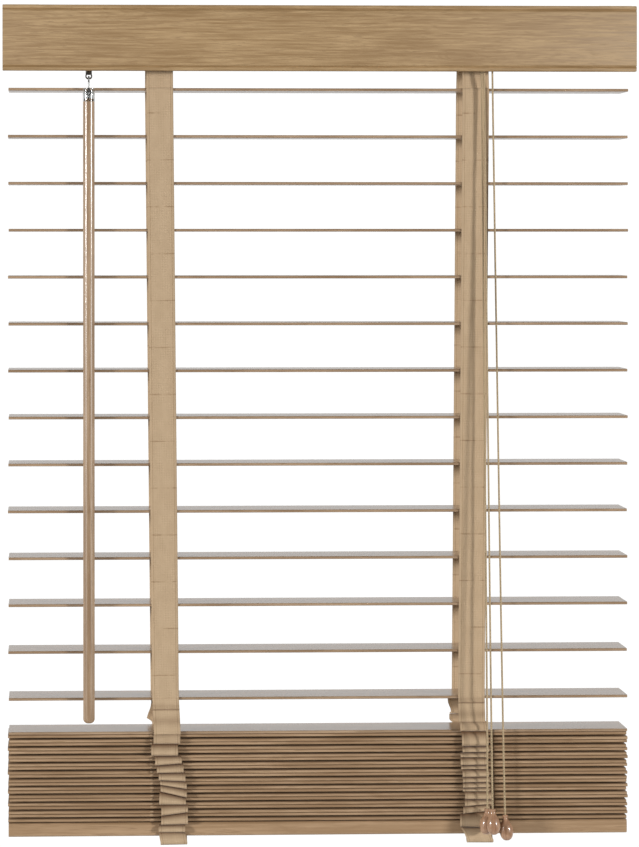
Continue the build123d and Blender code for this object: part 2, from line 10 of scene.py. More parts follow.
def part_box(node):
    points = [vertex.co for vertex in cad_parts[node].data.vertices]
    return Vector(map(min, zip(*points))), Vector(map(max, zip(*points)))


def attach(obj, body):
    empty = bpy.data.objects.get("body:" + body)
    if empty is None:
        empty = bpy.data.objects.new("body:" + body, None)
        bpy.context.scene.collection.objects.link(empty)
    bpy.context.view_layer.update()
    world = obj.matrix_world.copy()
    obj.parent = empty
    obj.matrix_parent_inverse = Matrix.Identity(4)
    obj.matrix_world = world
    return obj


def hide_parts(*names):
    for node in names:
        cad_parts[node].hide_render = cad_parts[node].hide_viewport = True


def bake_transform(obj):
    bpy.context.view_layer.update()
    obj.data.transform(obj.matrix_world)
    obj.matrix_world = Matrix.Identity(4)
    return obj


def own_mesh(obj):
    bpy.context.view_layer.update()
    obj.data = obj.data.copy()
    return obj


bl_info = {
    "name": "Wooden Venetian Blind",
    "version": (1, 0, 0),
    "blender": (4, 5, 0),
    "location": "3D View > Sidebar > Blind",
    "description": "Builds the visible pieces of a wooden venetian blind on its packed frame",
    "category": "Object",
}

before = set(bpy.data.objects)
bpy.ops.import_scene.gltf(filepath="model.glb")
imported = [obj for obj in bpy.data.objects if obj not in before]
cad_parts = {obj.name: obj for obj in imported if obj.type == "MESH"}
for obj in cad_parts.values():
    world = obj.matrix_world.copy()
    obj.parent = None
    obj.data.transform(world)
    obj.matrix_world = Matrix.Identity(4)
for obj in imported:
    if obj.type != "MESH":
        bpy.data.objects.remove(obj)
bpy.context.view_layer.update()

MM = 0.001
ROOT = "headrail_assembly"
FRONT, BACK = -1, 1
SIDES = ((FRONT, "front"), (BACK, "back"))
HANDS = ("left", "right")

# places shared with the parts, in millimetres
LADDER_X = (-151.5, 149.3)
LADDER_LOW_X = (-146.0, 145.6)
FIRST_SLAT_Z = -79.8
LAST_OPEN_Z = -658.3
PITCH = 44.5
SLAT_HALF = 1.35
OPEN_SLATS = 14
LEAVING_SLATS = 16
RESTING_SLATS = 7
STACK_TOP_Z = -689.4
PAIR_STEP = 7.54
SLAT_STEP = 3.0
RAIL_BOTTOM_Z = -789.14
DRUM_Z = -22.5
DRUM_RADIUS = 15.1
TAPE_Y = 25.7
TAPE_OVERRUN = 1.6
RUNG_CLEARANCE = 0.02
RUNG_RISE = 2.4
WAND_X, WAND_Y = -218.8, -34.0
WAND_PIVOT_Z = -83.0
SLEEVE_BOTTOM_Z = -91.7
WAND_BOTTOM_Z = -679.8
WAND_RADIUS = 5.5
PULL_ROUTES = (
    ((154.0, -31.0, -47.0), (154.0, -31.0, -58.0), (160.0, -38.4, -752.0), (159.2, -38.6, -766.5)),
    ((156.4, -31.0, -47.0), (156.4, -31.0, -58.0), (162.2, -50.5, -751.0), (162.9, -50.9, -764.7)),
    ((164.2, -31.0, -47.0), (164.2, -31.0, -58.0), (176.0, -32.4, -759.0), (177.3, -32.6, -773.5)),
)
LIFT_ROUTES = (
    ((149.3, -1.3, -786.1), (149.3, -1.3, -44.6), (149.3, -1.3, -40.6), (153.3, -1.3, -40.6),
     (165.0, -1.3, -40.6), (169.0, -1.3, -40.6), (169.0, -4.5, -38.4), (169.0, -20.4, -28.0)),
    ((149.3, 1.3, -786.1), (149.3, 1.3, -44.6), (149.3, 1.3, -40.6), (153.3, 1.3, -40.6),
     (167.0, 1.3, -40.6), (171.0, 1.3, -40.6), (171.0, -2.2, -38.6), (171.0, -20.4, -28.0)),
    ((-151.5, 0.0, -786.1), (-151.5, 0.0, -44.6), (-151.5, 0.0, -40.6), (-147.5, 1.0, -40.6),
     (-120.0, 4.2, -40.6), (169.0, 4.2, -40.6), (173.0, 4.2, -40.6), (173.0, 1.0, -38.8),
     (173.0, -20.4, -28.0)),
)
# folds of the tapes against the stack, from the top: the lip's height at the tape's left and right
# edges, and the fold's middle along X
FOLDS = (
    ((-691.3, -691.0, -144.4), (-700.7, -700.7, -144.9), (-712.1, -712.1, -147.1), (-721.5, -719.6, -143.4),
     (-728.4, -728.1, -141.8), (-735.3, -736.5, -140.0), (-739.7, -744.0, -138.7), (-745.9, -752.0, -138.5),
     (-758.7, -758.6, -139.5), (-769.3, -765.9, -137.6), (-777.6, -777.3, -137.7), (-784.8, -784.9, -140.1)),
    ((-681.0, -680.8, 146.0), (-690.3, -690.5, 147.0), (-704.9, -704.6, 148.8), (-710.6, -710.4, 149.4),
     (-715.2, -715.4, 147.4), (-723.0, -722.6, 147.6), (-726.6, -726.6, 148.0), (-734.2, -733.8, 149.4),
     (-739.3, -739.0, 149.8), (-744.3, -743.9, 149.8), (-747.7, -747.9, 149.6), (-755.3, -755.7, 151.9),
     (-762.0, -759.9, 151.6), (-769.1, -766.6, 150.2), (-781.4, -782.4, 147.2)),
)
# the tapes' ends under the rail, and the sharpest crease above the stack
TAIL_X = (-138.1, 153.9)
TAIL_Z = -796.6
CREASE_Z = (-668.2, -663.2)
# slack of the back tapes above the stack: (height, how far the tape swings to the left)
SLACK = (
    ((-669.0, 0.0), (-673.0, 0.8), (-682.0, 4.4), (-684.2, 5.0), (-686.6, 1.4), (-688.0, 0.0)),
    ((-659.5, 0.0), (-663.0, 4.4), (-671.0, 3.6), (-676.5, 1.4), (-679.5, 0.8), (-682.0, 3.4), (-688.0, 3.0),
     (-690.5, 0.0)),
)


def srgb(red, green, blue, alpha=1.0):
    """A linear colour from the eight-bit numbers that a paint card gives."""
    def linear(value):
        value /= 255
        return value / 12.92 if value <= 0.04045 else ((value + 0.055) / 1.055) ** 2.4
    return (linear(red), linear(green), linear(blue), alpha)


def length_property(label, text, millimetres):
    return bpy.props.FloatProperty(
        name=label, description=text, default=millimetres * MM, min=0.0, precision=5, subtype="DISTANCE",
        unit="LENGTH",
    )


def colour_property(label, text, colour):
    return bpy.props.FloatVectorProperty(
        name=label, description=text, default=colour, size=4, min=0.0, max=1.0, subtype="COLOR"
    )


class BlindSizes(bpy.types.PropertyGroup):
    """Sizes of the pieces made here."""
    tape_width: length_property("Tape width", "Width of a ladder tape", 25.4)
    tape_thickness: length_property("Tape thickness", "Thickness of a ladder tape", 0.7)
    rung_width: length_property("Rung width", "Width of a woven rung", 3.2)
    rung_thickness: length_property("Rung thickness", "Thickness of a woven rung", 0.22)
    rung_spacing: length_property("Rung spacing", "Distance between a ladder's two rungs", 15.0)
    rung_reach: length_property("Rung reach", "Half a rung's span, out to the tapes", 25.14)
    cord_diameter: length_property("Cord diameter", "Diameter of the braided cords", 1.8)
    bead_height: length_property("Bead height", "Height of the valance's beads", 3.8)
    groove_depth: length_property("Groove depth", "Depth of the valance's grooves", 1.8)


class BlindColours(bpy.types.PropertyGroup):
    """Colours of the blind's finishes."""
    oak_light: colour_property("Oak light", "Palest grain of the oak", srgb(182, 152, 111))
    oak_dark: colour_property("Oak dark", "Darkest grain of the oak", srgb(150, 120, 82))
    oak_pore: colour_property("Oak pore", "Open pores of the oak", srgb(118, 90, 58))
    slat_light: colour_property("Slat light", "Palest grain of a slat", srgb(180, 152, 122))
    slat_dark: colour_property("Slat dark", "Darkest grain of a slat", srgb(148, 120, 92))
    rail_light: colour_property("Rail light", "Palest grain of the bottom rail", srgb(178, 147, 114))
    rail_dark: colour_property("Rail dark", "Darkest grain of the bottom rail", srgb(156, 126, 94))
    turned_light: colour_property("Turned light", "Palest grain of the tassels", srgb(182, 142, 110))
    turned_dark: colour_property("Turned dark", "Darkest grain of the tassels", srgb(150, 110, 82))
    tape_light: colour_property("Tape light", "Raised threads of the tape", srgb(206, 181, 149))
    tape_dark: colour_property("Tape dark", "Sunken threads of the tape", srgb(166, 140, 109))
    cord: colour_property("Cord", "Braided cord", srgb(206, 184, 148))
    enamel: colour_property("Enamel", "Headrail and brackets", srgb(232, 226, 208))
    plastic: colour_property("Plastic", "Moulded fittings", srgb(236, 234, 226))


class BlindStudio(bpy.types.PropertyGroup):
    """Light and floor."""
    key_power: bpy.props.FloatProperty(name="Key power", description="Main light", default=215.0, min=0.0,
                                       subtype="POWER", unit="POWER")
    fill_power: bpy.props.FloatProperty(name="Fill power", description="Second light", default=215.0, min=0.0,
                                        subtype="POWER", unit="POWER")
    surround: bpy.props.FloatProperty(name="Surround", description="Brightness of the room in front",
                                      default=0.16, min=0.0)
    backdrop: bpy.props.FloatProperty(name="Backdrop", description="Brightness of the wall behind", default=0.72,
                                      min=0.0)
    floor_drop: length_property("Floor drop", "Height of the origin above the floor", 1560.0)


# node helpers
def feed(tree, node, inputs):
    """An input given a socket is linked, and any other is set."""
    for key, value in inputs.items():
        if isinstance(value, bpy.types.NodeSocket):
            tree.links.new(value, node.inputs[key])
        else:
            node.inputs[key].default_value = value
    return node


def put(tree, kind, inputs=None, **settings):
    """Add a node with its settings and inputs."""
    node = tree.nodes.new(kind)
    for name, value in settings.items():
        setattr(node, name, value)
    return feed(tree, node, inputs or {})


def calc(tree, operation, *values, clamp=False):
    """A math node's result."""
    return put(tree, "ShaderNodeMath", dict(enumerate(values)), operation=operation, use_clamp=clamp).outputs[0]


def aim(tree, operation, first, second):
    """A vector math node's result."""
    return put(tree, "ShaderNodeVectorMath", {0: first, 1: second}, operation=operation).outputs[0]


def stretch(tree, vector, factors):
    """A vector multiplied by three factors."""
    return aim(tree, "MULTIPLY", vector, factors)


def cloud(tree, vector, detail=3.0, roughness=0.55, distortion=0.0, scale=1.0):
    """Noise from 0 to 1."""
    return put(tree, "ShaderNodeTexNoise", {
        "Vector": vector, "Scale": scale, "Detail": detail, "Roughness": roughness, "Distortion": distortion,
    }).outputs[0]


def remap(tree, value, low, high, to_low=0.0, to_high=1.0):
    """A value moved from one range to another, smoothly and clamped."""
    return put(tree, "ShaderNodeMapRange", {
        "Value": value, "From Min": low, "From Max": high, "To Min": to_low, "To Max": to_high,
    }, interpolation_type="SMOOTHSTEP").outputs[0]


def mix(tree, share, first, second, blend="MIX"):
    """Two colours mixed."""
    return put(tree, "ShaderNodeMix", {0: share, 6: first, 7: second}, data_type="RGBA",
               blend_type=blend).outputs[2]


def start_group(name, inputs, outputs):
    """A shader node group with named sockets: (tree, its inputs, its output node)."""
    tree = bpy.data.node_groups.new(name, "ShaderNodeTree")
    for label, kind, default in inputs:
        socket = tree.interface.new_socket(name=label, in_out="INPUT", socket_type=kind)
        if default is not None:
            socket.default_value = default
    for label, kind in outputs:
        tree.interface.new_socket(name=label, in_out="OUTPUT", socket_type=kind)
    return tree, tree.nodes.new("NodeGroupInput").outputs, tree.nodes.new("NodeGroupOutput")


VECTOR, COLOUR, FLOAT = "NodeSocketVector", "NodeSocketColor", "NodeSocketFloat"


def wood_grain_group():
    """Straight open grain along X, in metres: streaks, growth lines and short dark pores."""
    tree, given, out = start_group(
        "Wood Grain",
        [("Vector", VECTOR, None), ("Light", COLOUR, (1, 1, 1, 1)), ("Dark", COLOUR, (0, 0, 0, 1)),
         ("Pore", COLOUR, (0, 0, 0, 1)), ("Pore Strength", FLOAT, 0.6), ("Fineness", FLOAT, 1.0)],
        [("Color", COLOUR), ("Height", FLOAT), ("Gloss", FLOAT)],
    )
    at = put(tree, "ShaderNodeVectorMath", {0: given["Vector"], "Scale": given["Fineness"]},
             operation="SCALE").outputs[0]
    broad = cloud(tree, stretch(tree, at, (2.6, 34.0, 34.0)), 4.0, 0.55, 0.6)
    streak = cloud(tree, stretch(tree, at, (11.0, 300.0, 300.0)), 5.0, 0.62)
    rings = calc(tree, "SINE", calc(tree, "MULTIPLY", broad, 70.0))
    line = remap(tree, rings, 0.55, 1.0)
    pore = remap(tree, cloud(tree, stretch(tree, at, (55.0, 1500.0, 1500.0)), 1.0), 0.57, 0.70)
    pore = calc(tree, "MULTIPLY", pore, remap(tree, streak, 0.40, 0.62))
    tone = calc(tree, "ADD", calc(tree, "MULTIPLY", streak, 0.74), calc(tree, "MULTIPLY", broad, 0.26))
    tone = calc(tree, "SUBTRACT", remap(tree, tone, 0.36, 0.64), calc(tree, "MULTIPLY", line, 0.22), clamp=True)
    colour = mix(tree, tone, given["Dark"], given["Light"])
    dark = calc(tree, "MULTIPLY", pore, given["Pore Strength"])
    colour = mix(tree, dark, colour, given["Pore"])
    height = calc(tree, "SUBTRACT", calc(tree, "MULTIPLY", streak, 0.35), dark)
    tree.links.new(colour, out.inputs["Color"])
    tree.links.new(height, out.inputs["Height"])
    tree.links.new(remap(tree, streak, 0.3, 0.7, 0.30, 0.46), out.inputs["Gloss"])
    return tree


def tape_weave_group():
    """A diamond weave in millimetres: across the tape in X and along it in Y, with selvages, a darker rib near each
    edge, and painted shade along the creases.
    """
    tree, given, out = start_group(
        "Tape Weave",
        [("Vector", VECTOR, None), ("Light", COLOUR, (1, 1, 1, 1)), ("Dark", COLOUR, (0, 0, 0, 1)),
         ("Diamond", FLOAT, 2.3), ("Half Width", FLOAT, 12.7), ("Crease Pitch", FLOAT, 44.5),
         ("Crease Shade", FLOAT, 1.0)],
        [("Color", COLOUR), ("Height", FLOAT)],
    )
    split = put(tree, "ShaderNodeSeparateXYZ", {0: given["Vector"]}).outputs
    across, along = split[0], split[1]
    turn = calc(tree, "DIVIDE", 2 * math.pi, given["Diamond"])
    wave_x = calc(tree, "COSINE", calc(tree, "MULTIPLY", across, turn))
    wave_y = calc(tree, "COSINE", calc(tree, "MULTIPLY", along, turn))
    diamond = calc(tree, "MULTIPLY", calc(tree, "SUBTRACT", wave_y, wave_x), 0.5)
    patch = remap(tree, cloud(tree, stretch(tree, given["Vector"], (0.16, 0.07, 1.0)), 2.0), 0.42, 0.64, 0.05, 0.8)
    thread = calc(tree, "SINE", calc(tree, "MULTIPLY", calc(tree, "ADD", across, along), 2 * math.pi / 0.62))
    weave = calc(tree, "ADD", calc(tree, "MULTIPLY", diamond, patch), calc(tree, "MULTIPLY", thread, 0.22))
    off_middle = calc(tree, "ABSOLUTE", calc(tree, "SUBTRACT", across, given["Half Width"]))
    inside = calc(tree, "SUBTRACT", given["Half Width"], off_middle)
    selvage = remap(tree, inside, 1.9, 2.3, 1.0, 0.0)
    rib = remap(tree, calc(tree, "ABSOLUTE", calc(tree, "SUBTRACT", inside, 2.5)), 0.15, 0.55, 1.0, 0.0)
    weave = calc(tree, "MULTIPLY", weave, remap(tree, selvage, 0.0, 1.0, 1.0, 0.35))
    # painted shade along the creases halfway between slats, shown in patches that come and go along the tape
    cell = calc(tree, "DIVIDE", along, given["Crease Pitch"])
    away = calc(tree, "MULTIPLY", calc(tree, "ABSOLUTE", calc(tree, "SUBTRACT", calc(tree, "FRACT", cell), 0.5)),
                given["Crease Pitch"])
    wander = calc(tree, "MULTIPLY", cloud(tree, stretch(tree, given["Vector"], (0.25, 0.02, 1.0))), 1.4)
    painted_crease_shade = remap(tree, calc(tree, "ADD", away, wander), 0.55, 1.6, 1.0, 0.0)
    patchiness = remap(tree, cloud(tree, stretch(tree, given["Vector"], (0.05, 0.021, 1.0))), 0.40, 0.56)
    painted_crease_shade = calc(tree, "MULTIPLY", calc(tree, "MULTIPLY", painted_crease_shade, patchiness), given["Crease Shade"])
    tone = calc(tree, "ADD", calc(tree, "MULTIPLY", weave, 0.26), 0.58, clamp=True)
    colour = mix(tree, tone, given["Dark"], given["Light"])
    blotch = cloud(tree, stretch(tree, given["Vector"], (0.11, 0.045, 1.0)), 3.0)
    colour = mix(tree, remap(tree, blotch, 0.35, 0.65, 0.0, 0.22), colour, given["Dark"])
    # the rib line is the weave's own darker thread; the crease part is painted shade, multiplied by the dark colour
    shade = calc(tree, "ADD", calc(tree, "MULTIPLY", rib, 0.30), calc(tree, "MULTIPLY", painted_crease_shade, 0.55), clamp=True)
    colour = mix(tree, shade, colour, given["Dark"], "MULTIPLY")
    height = calc(tree, "SUBTRACT", calc(tree, "MULTIPLY", weave, 0.5), shade)
    tree.links.new(colour, out.inputs["Color"])
    tree.links.new(height, out.inputs["Height"])
    return tree


def braid_group():
    """A round braid: X runs round the cord from 0 to 1, and Y along it in millimetres."""
    tree, given, out = start_group(
        "Cord Braid",
        [("Vector", VECTOR, None), ("Color", COLOUR, (1, 1, 1, 1)), ("Strands", FLOAT, 4.0),
         ("Lay", FLOAT, 3.4)],
        [("Color", COLOUR), ("Height", FLOAT)],
    )
    split = put(tree, "ShaderNodeSeparateXYZ", {0: given["Vector"]}).outputs
    around = calc(tree, "MULTIPLY", split[0], given["Strands"])
    along = calc(tree, "DIVIDE", split[1], given["Lay"])
    first = calc(tree, "SINE", calc(tree, "MULTIPLY", calc(tree, "ADD", around, along), 2 * math.pi))
    second = calc(tree, "SINE", calc(tree, "MULTIPLY", calc(tree, "SUBTRACT", around, along), 2 * math.pi))
    weave = calc(tree, "MULTIPLY", first, second)
    soil = cloud(tree, stretch(tree, given["Vector"], (1.0, 0.03, 1.0)), 3.0)
    tone = calc(tree, "ADD", calc(tree, "MULTIPLY", weave, 0.3),
                calc(tree, "MULTIPLY", soil, 0.35), clamp=True)
    # painted shade between the strands where the braid sinks, and random soil along the cord, both pull the colour
    # towards this darker copy
    strand_shade_and_soil = mix(tree, 0.55, given["Color"], given["Color"], "MULTIPLY")
    tree.links.new(mix(tree, calc(tree, "ADD", tone, 0.35, clamp=True), strand_shade_and_soil, given["Color"]),
                   out.inputs["Color"])
    tree.links.new(weave, out.inputs["Height"])
    return tree


def mottle_group():
    """Unevenness that every factory finish has: a roughness round Base, and a faint height."""
    tree, given, out = start_group(
        "Finish Mottle",
        [("Vector", VECTOR, None), ("Base", FLOAT, 0.4), ("Spread", FLOAT, 0.1), ("Scale", FLOAT, 180.0)],
        [("Roughness", FLOAT), ("Height", FLOAT), ("Mask", FLOAT)],
    )
    fine = cloud(tree, given["Vector"], 4.0, 0.6, 0.0, given["Scale"])
    broad = cloud(tree, given["Vector"], 2.0, 0.5, 0.0, 22.0)
    both = calc(tree, "ADD", calc(tree, "MULTIPLY", fine, 0.6), calc(tree, "MULTIPLY", broad, 0.4))
    swing = calc(tree, "MULTIPLY", calc(tree, "SUBTRACT", both, 0.5), given["Spread"])
    tree.links.new(calc(tree, "ADD", given["Base"], swing, clamp=True), out.inputs["Roughness"])
    tree.links.new(fine, out.inputs["Height"])
    tree.links.new(broad, out.inputs["Mask"])
    return tree


def group_node(tree, name, inputs):
    """A node that holds one of the groups, which is made when first asked for."""
    made = bpy.data.node_groups.get(name) or GROUPS[name]()
    return put(tree, "ShaderNodeGroup", inputs, node_tree=made)


GROUPS = {
    "Wood Grain": wood_grain_group,
    "Tape Weave": tape_weave_group,
    "Cord Braid": braid_group,
    "Finish Mottle": mottle_group,
}


# materials
def start_material(name, metallic=0.0, ior=1.5):
    """A material with a bare Principled shader: (material, tree, shader)."""
    material = bpy.data.materials.new(name)
    material.use_nodes = True
    tree = material.node_tree
    shader = tree.nodes["Principled BSDF"]
    shader.inputs["Metallic"].default_value = metallic
    shader.inputs["IOR"].default_value = ior
    return material, tree, shader


def bump(tree, shader, height, distance, strength=1.0):
    """Let a height tilt the surface."""
    node = put(tree, "ShaderNodeBump", {"Height": height, "Distance": distance, "Strength": strength})
    tree.links.new(node.outputs[0], shader.inputs["Normal"])


def wood(name, light, dark, pore, along=(0, 0, 0), fineness=1.0, pores=0.6, coat=0.3, coat_roughness=0.22,
         gloss=0.0, relief=0.00006, specular=0.5):
    """Lacquered wood; along turns the grain from X to the piece's own length."""
    material, tree, shader = start_material(name)
    spot = put(tree, "ShaderNodeTexCoord").outputs["Object"]
    spot = put(tree, "ShaderNodeMapping", {"Vector": spot, "Rotation": along}).outputs[0]
    grain = group_node(tree, "Wood Grain", {
        "Vector": spot, "Light": light, "Dark": dark, "Pore": pore, "Pore Strength": pores,
        "Fineness": fineness,
    })
    tree.links.new(grain.outputs["Color"], shader.inputs["Base Color"])
    tree.links.new(calc(tree, "ADD", grain.outputs["Gloss"], gloss), shader.inputs["Roughness"])
    shader.inputs["Coat Weight"].default_value = coat
    shader.inputs["Coat Roughness"].default_value = coat_roughness
    shader.inputs["Specular IOR Level"].default_value = specular
    bump(tree, shader, grain.outputs["Height"], relief)
    return material


def tape_cloth(name, painted_crease_shade):
    """Woven cotton tape; its pattern follows the tape's own map, and its colour is darkened by painted shade where a
    piece carries shade values.
    """
    colours = bpy.context.scene.blind_colours
    material, tree, shader = start_material(name)
    spot = put(tree, "ShaderNodeTexCoord").outputs["UV"]
    weave = group_node(tree, "Tape Weave", {
        "Vector": spot, "Light": colours.tape_light, "Dark": colours.tape_dark, "Crease Shade": painted_crease_shade,
    })
    # painted shade: the colour is multiplied towards dark brown by the shade values that the folded pieces carry
    painted_shade = put(tree, "ShaderNodeAttribute", attribute_name="painted_shade").outputs["Fac"]
    colour = mix(tree, painted_shade, weave.outputs["Color"], srgb(128, 98, 66), "MULTIPLY")
    tree.links.new(colour, shader.inputs["Base Color"])
    shader.inputs["Roughness"].default_value = 0.86
    shader.inputs["Specular IOR Level"].default_value = 0.25
    shader.inputs["Sheen Weight"].default_value = 0.18
    shader.inputs["Sheen Roughness"].default_value = 0.5
    bump(tree, shader, weave.outputs["Height"], 0.00022)
    return material


def cord_braid():
    """Braided cotton cord."""
    material, tree, shader = start_material("Cord braid")
    spot = put(tree, "ShaderNodeTexCoord").outputs["UV"]
    braid = group_node(tree, "Cord Braid", {"Vector": spot, "Color": bpy.context.scene.blind_colours.cord})
    tree.links.new(braid.outputs["Color"], shader.inputs["Base Color"])
    shader.inputs["Roughness"].default_value = 0.78
    shader.inputs["Sheen Weight"].default_value = 0.12
    bump(tree, shader, braid.outputs["Height"], 0.00025)
    return material


def coated(name, colour, roughness, spread, depth, metallic=0.0, coat=0.0, scale=180.0, patchiness=0.08):
    """Enamel, plating or moulded plastic: one colour, with its finish's own unevenness."""
    material, tree, shader = start_material(name, metallic)
    spot = put(tree, "ShaderNodeTexCoord").outputs["Object"]
    mottle = group_node(tree, "Finish Mottle", {
        "Vector": spot, "Base": roughness, "Spread": spread, "Scale": scale,
    })
    darker = tuple(c * (1 - patchiness) for c in colour[:3]) + (1.0,)
    tree.links.new(mix(tree, mottle.outputs["Mask"], colour, darker), shader.inputs["Base Color"])
    tree.links.new(mottle.outputs["Roughness"], shader.inputs["Roughness"])
    shader.inputs["Coat Weight"].default_value = coat
    bump(tree, shader, mottle.outputs["Height"], depth)
    return material


def clear_plastic():
    """Clear moulded plastic, a little hazed."""
    material, tree, shader = start_material("Clear plastic", ior=1.49)
    spot = put(tree, "ShaderNodeTexCoord").outputs["Object"]
    mottle = group_node(tree, "Finish Mottle", {"Vector": spot, "Base": 0.06, "Spread": 0.05, "Scale": 320.0})
    shader.inputs["Base Color"].default_value = (0.80, 0.82, 0.82, 1.0)
    shader.inputs["Transmission Weight"].default_value = 1.0
    tree.links.new(mottle.outputs["Roughness"], shader.inputs["Roughness"])
    return material


UPRIGHT = (0.0, math.pi / 2, 0.0)


def finish(name):
    """One of the blind's materials by name, made when first asked for."""
    found = bpy.data.materials.get(name)
    if found:
        return found
    c = bpy.context.scene.blind_colours
    makers = {
        "Oak": lambda: wood(name, c.oak_light, c.oak_dark, c.oak_pore, fineness=1.6, coat=0.04,
                            coat_roughness=0.4, gloss=0.16),
        "Slat oak": lambda: wood(name, c.slat_light, c.slat_dark, c.oak_pore, coat=1.0, coat_roughness=0.24,
                                 relief=0.00002),
        "Stack oak": lambda: wood(name, c.slat_light, c.slat_dark, c.oak_pore, coat=0.0, gloss=0.22,
                                  specular=0.05),
        "Rail oak": lambda: wood(name, c.rail_light, c.rail_dark, c.oak_pore, coat=0.15, gloss=0.1),
        "Wand oak": lambda: wood(name, c.slat_light, c.slat_dark, c.oak_pore, UPRIGHT, coat=0.5,
                                 coat_roughness=0.13),
        "Turned wood": lambda: wood(name, c.turned_light, c.turned_dark, c.oak_pore, UPRIGHT, 1.6, 0.35, 1.0, 0.05),
        "Tape cloth": lambda: tape_cloth(name, 1.0),
        "Folded tape cloth": lambda: tape_cloth(name, 0.0),
        "Cord braid": cord_braid,
        "Cream enamel": lambda: coated(name, c.enamel, 0.34, 0.12, 0.00002, coat=0.3),
        "Moulded plastic": lambda: coated(name, c.plastic, 0.42, 0.16, 0.00003, scale=420.0),
        "Zinc steel": lambda: coated(name, srgb(150, 150, 148), 0.36, 0.2, 0.00001, 1.0, patchiness=0.3),
        "Brass": lambda: coated(name, srgb(206, 172, 104), 0.26, 0.18, 0.00001, 1.0, patchiness=0.2),
        "Clear plastic": clear_plastic,
    }
    return makers[name]()


def dress(names, material):
    """Give CAD nodes a material."""
    for name in names:
        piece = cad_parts[name]
        if not piece.material_slots:
            piece.data.materials.append(finish(material))
        for holder in piece.material_slots:
            holder.material = finish(material)


# mesh helpers; all take millimetres and make metres
def new_piece(name, vertices, faces, material, maps=None, smooth=True, painted_shade=None):
    """A mesh object from its vertices and faces, with optional map and painted shade values for each vertex."""
    mesh = bpy.data.meshes.new(name)
    mesh.from_pydata([Vector(v) * MM for v in vertices], [], faces)
    if maps:
        layer = mesh.uv_layers.new(name="UVMap")
        for loop in mesh.loops:
            layer.data[loop.index].uv = maps[loop.vertex_index]
    # painted shade: the values become a point attribute that darkens the tape cloth's colour
    if painted_shade:
        mesh.attributes.new("painted_shade", "FLOAT", "POINT").data.foreach_set("value", painted_shade)
    tidy = bmesh.new()
    tidy.from_mesh(mesh)
    bmesh.ops.recalc_face_normals(tidy, faces=tidy.faces)
    tidy.to_mesh(mesh)
    tidy.free()
    for face in mesh.polygons:
        face.use_smooth = smooth
    mesh.materials.append(finish(material))
    piece = bpy.data.objects.new(name, mesh)
    bpy.context.scene.collection.objects.link(piece)
    return piece


def skin(rings):
    """Faces between rings of equal length, and over the two ends."""
    count = len(rings[0])
    vertices = [p for ring in rings for p in ring]
    faces = []
    for k in range(len(rings) - 1):
        a, b = k * count, (k + 1) * count
        for i in range(count):
            j = (i + 1) % count
            faces.append((a + i, a + j, b + j, b + i))
    faces.append(tuple(range(count))[::-1])
    faces.append(tuple(range(len(vertices) - count, len(vertices))))
    return vertices, faces


def tape_width():
    """The tapes' width in millimetres."""
    return bpy.context.scene.blind_sizes.tape_width / MM


def ribbon(name, stations, material, start=0.0, painted_shade=None):
    """A flat tape through stations of (middle, direction across, direction outwards).

    start is where its weave begins, and the shade values say for each station how much painted shade
    its colour takes in the folds, from 0 to 1."""
    width, half = tape_width(), bpy.context.scene.blind_sizes.tape_thickness / MM / 2
    columns, edge = 10, 0.35 * half
    places = [(-width / 2 + edge) + (width - 2 * edge) * i / columns for i in range(columns + 1)]
    rings, maps = [], []
    along = start
    for k, (middle, across, outward) in enumerate(stations):
        if k:
            along += (Vector(middle) - Vector(stations[k - 1][0])).length
        middle, across, outward = Vector(middle), Vector(across), Vector(outward)
        ring = [(middle + across * u + outward * half, u) for u in places]
        ring.append((middle + across * (width / 2), width / 2))
        ring += [(middle + across * u - outward * half, u) for u in reversed(places)]
        ring.append((middle - across * (width / 2), -width / 2))
        rings.append([p for p, _ in ring])
        maps += [(u + width / 2, along) for _, u in ring]
    vertices, faces = skin(rings)
    # painted shade: each station's value goes to every vertex of its ring
    painted_shade_per_vertex = [value for value in painted_shade for _ in rings[0]] if painted_shade else None
    return new_piece(name, vertices, faces, material, maps, painted_shade=painted_shade_per_vertex)


def frames_along(points):
    """(point, side, up) at each point of a line, turned as little as possible along it."""
    points = [Vector(p) for p in points]
    found = []
    side = None
    for k, point in enumerate(points):
        ahead = points[min(k + 1, len(points) - 1)] - points[max(k - 1, 0)]
        ahead.normalize()
        if side is None:
            side = ahead.orthogonal().normalized()
        side = (side - ahead * side.dot(ahead)).normalized()
        found.append((point, side, ahead.cross(side)))
    return found


def round_tube(name, points, radius, material, segments=12):
    """A round tube along points, with flat closed ends."""
    rings, maps = [], []
    along = 0.0
    spots = frames_along(points)
    for k, (point, side, up) in enumerate(spots):
        if k:
            along += (point - spots[k - 1][0]).length
        ring = []
        for i in range(segments):
            turn = 2 * math.pi * i / segments
            ring.append(point + (side * math.cos(turn) + up * math.sin(turn)) * radius)
            maps.append((i / segments, along))
        rings.append(ring)
    vertices, faces = skin(rings)
    return new_piece(name, vertices, faces, material, maps)


def spline_points(route):
    """Points read from one smooth spline that has the route as its control points, in millimetres."""
    line = bpy.data.curves.new("route", "CURVE")
    line.dimensions = "3D"
    line.resolution_u = 24
    spline = line.splines.new("NURBS")
    spline.points.add(len(route) - 1)
    for point, place in zip(spline.points, route):
        point.co = (*(Vector(place) * MM), 1.0)
    spline.order_u = 3
    spline.use_endpoint_u = True
    holder = bpy.data.objects.new("route", line)
    bpy.context.scene.collection.objects.link(holder)
    bpy.context.view_layer.update()
    mesh = bpy.data.meshes.new_from_object(holder.evaluated_get(bpy.context.evaluated_depsgraph_get()))
    points = [v.co / MM for v in mesh.vertices]
    bpy.data.objects.remove(holder)
    bpy.data.meshes.remove(mesh)
    return points


def full_circle(count):
    """Evenly spaced angles round a circle."""
    return [2 * math.pi * i / count for i in range(count)]


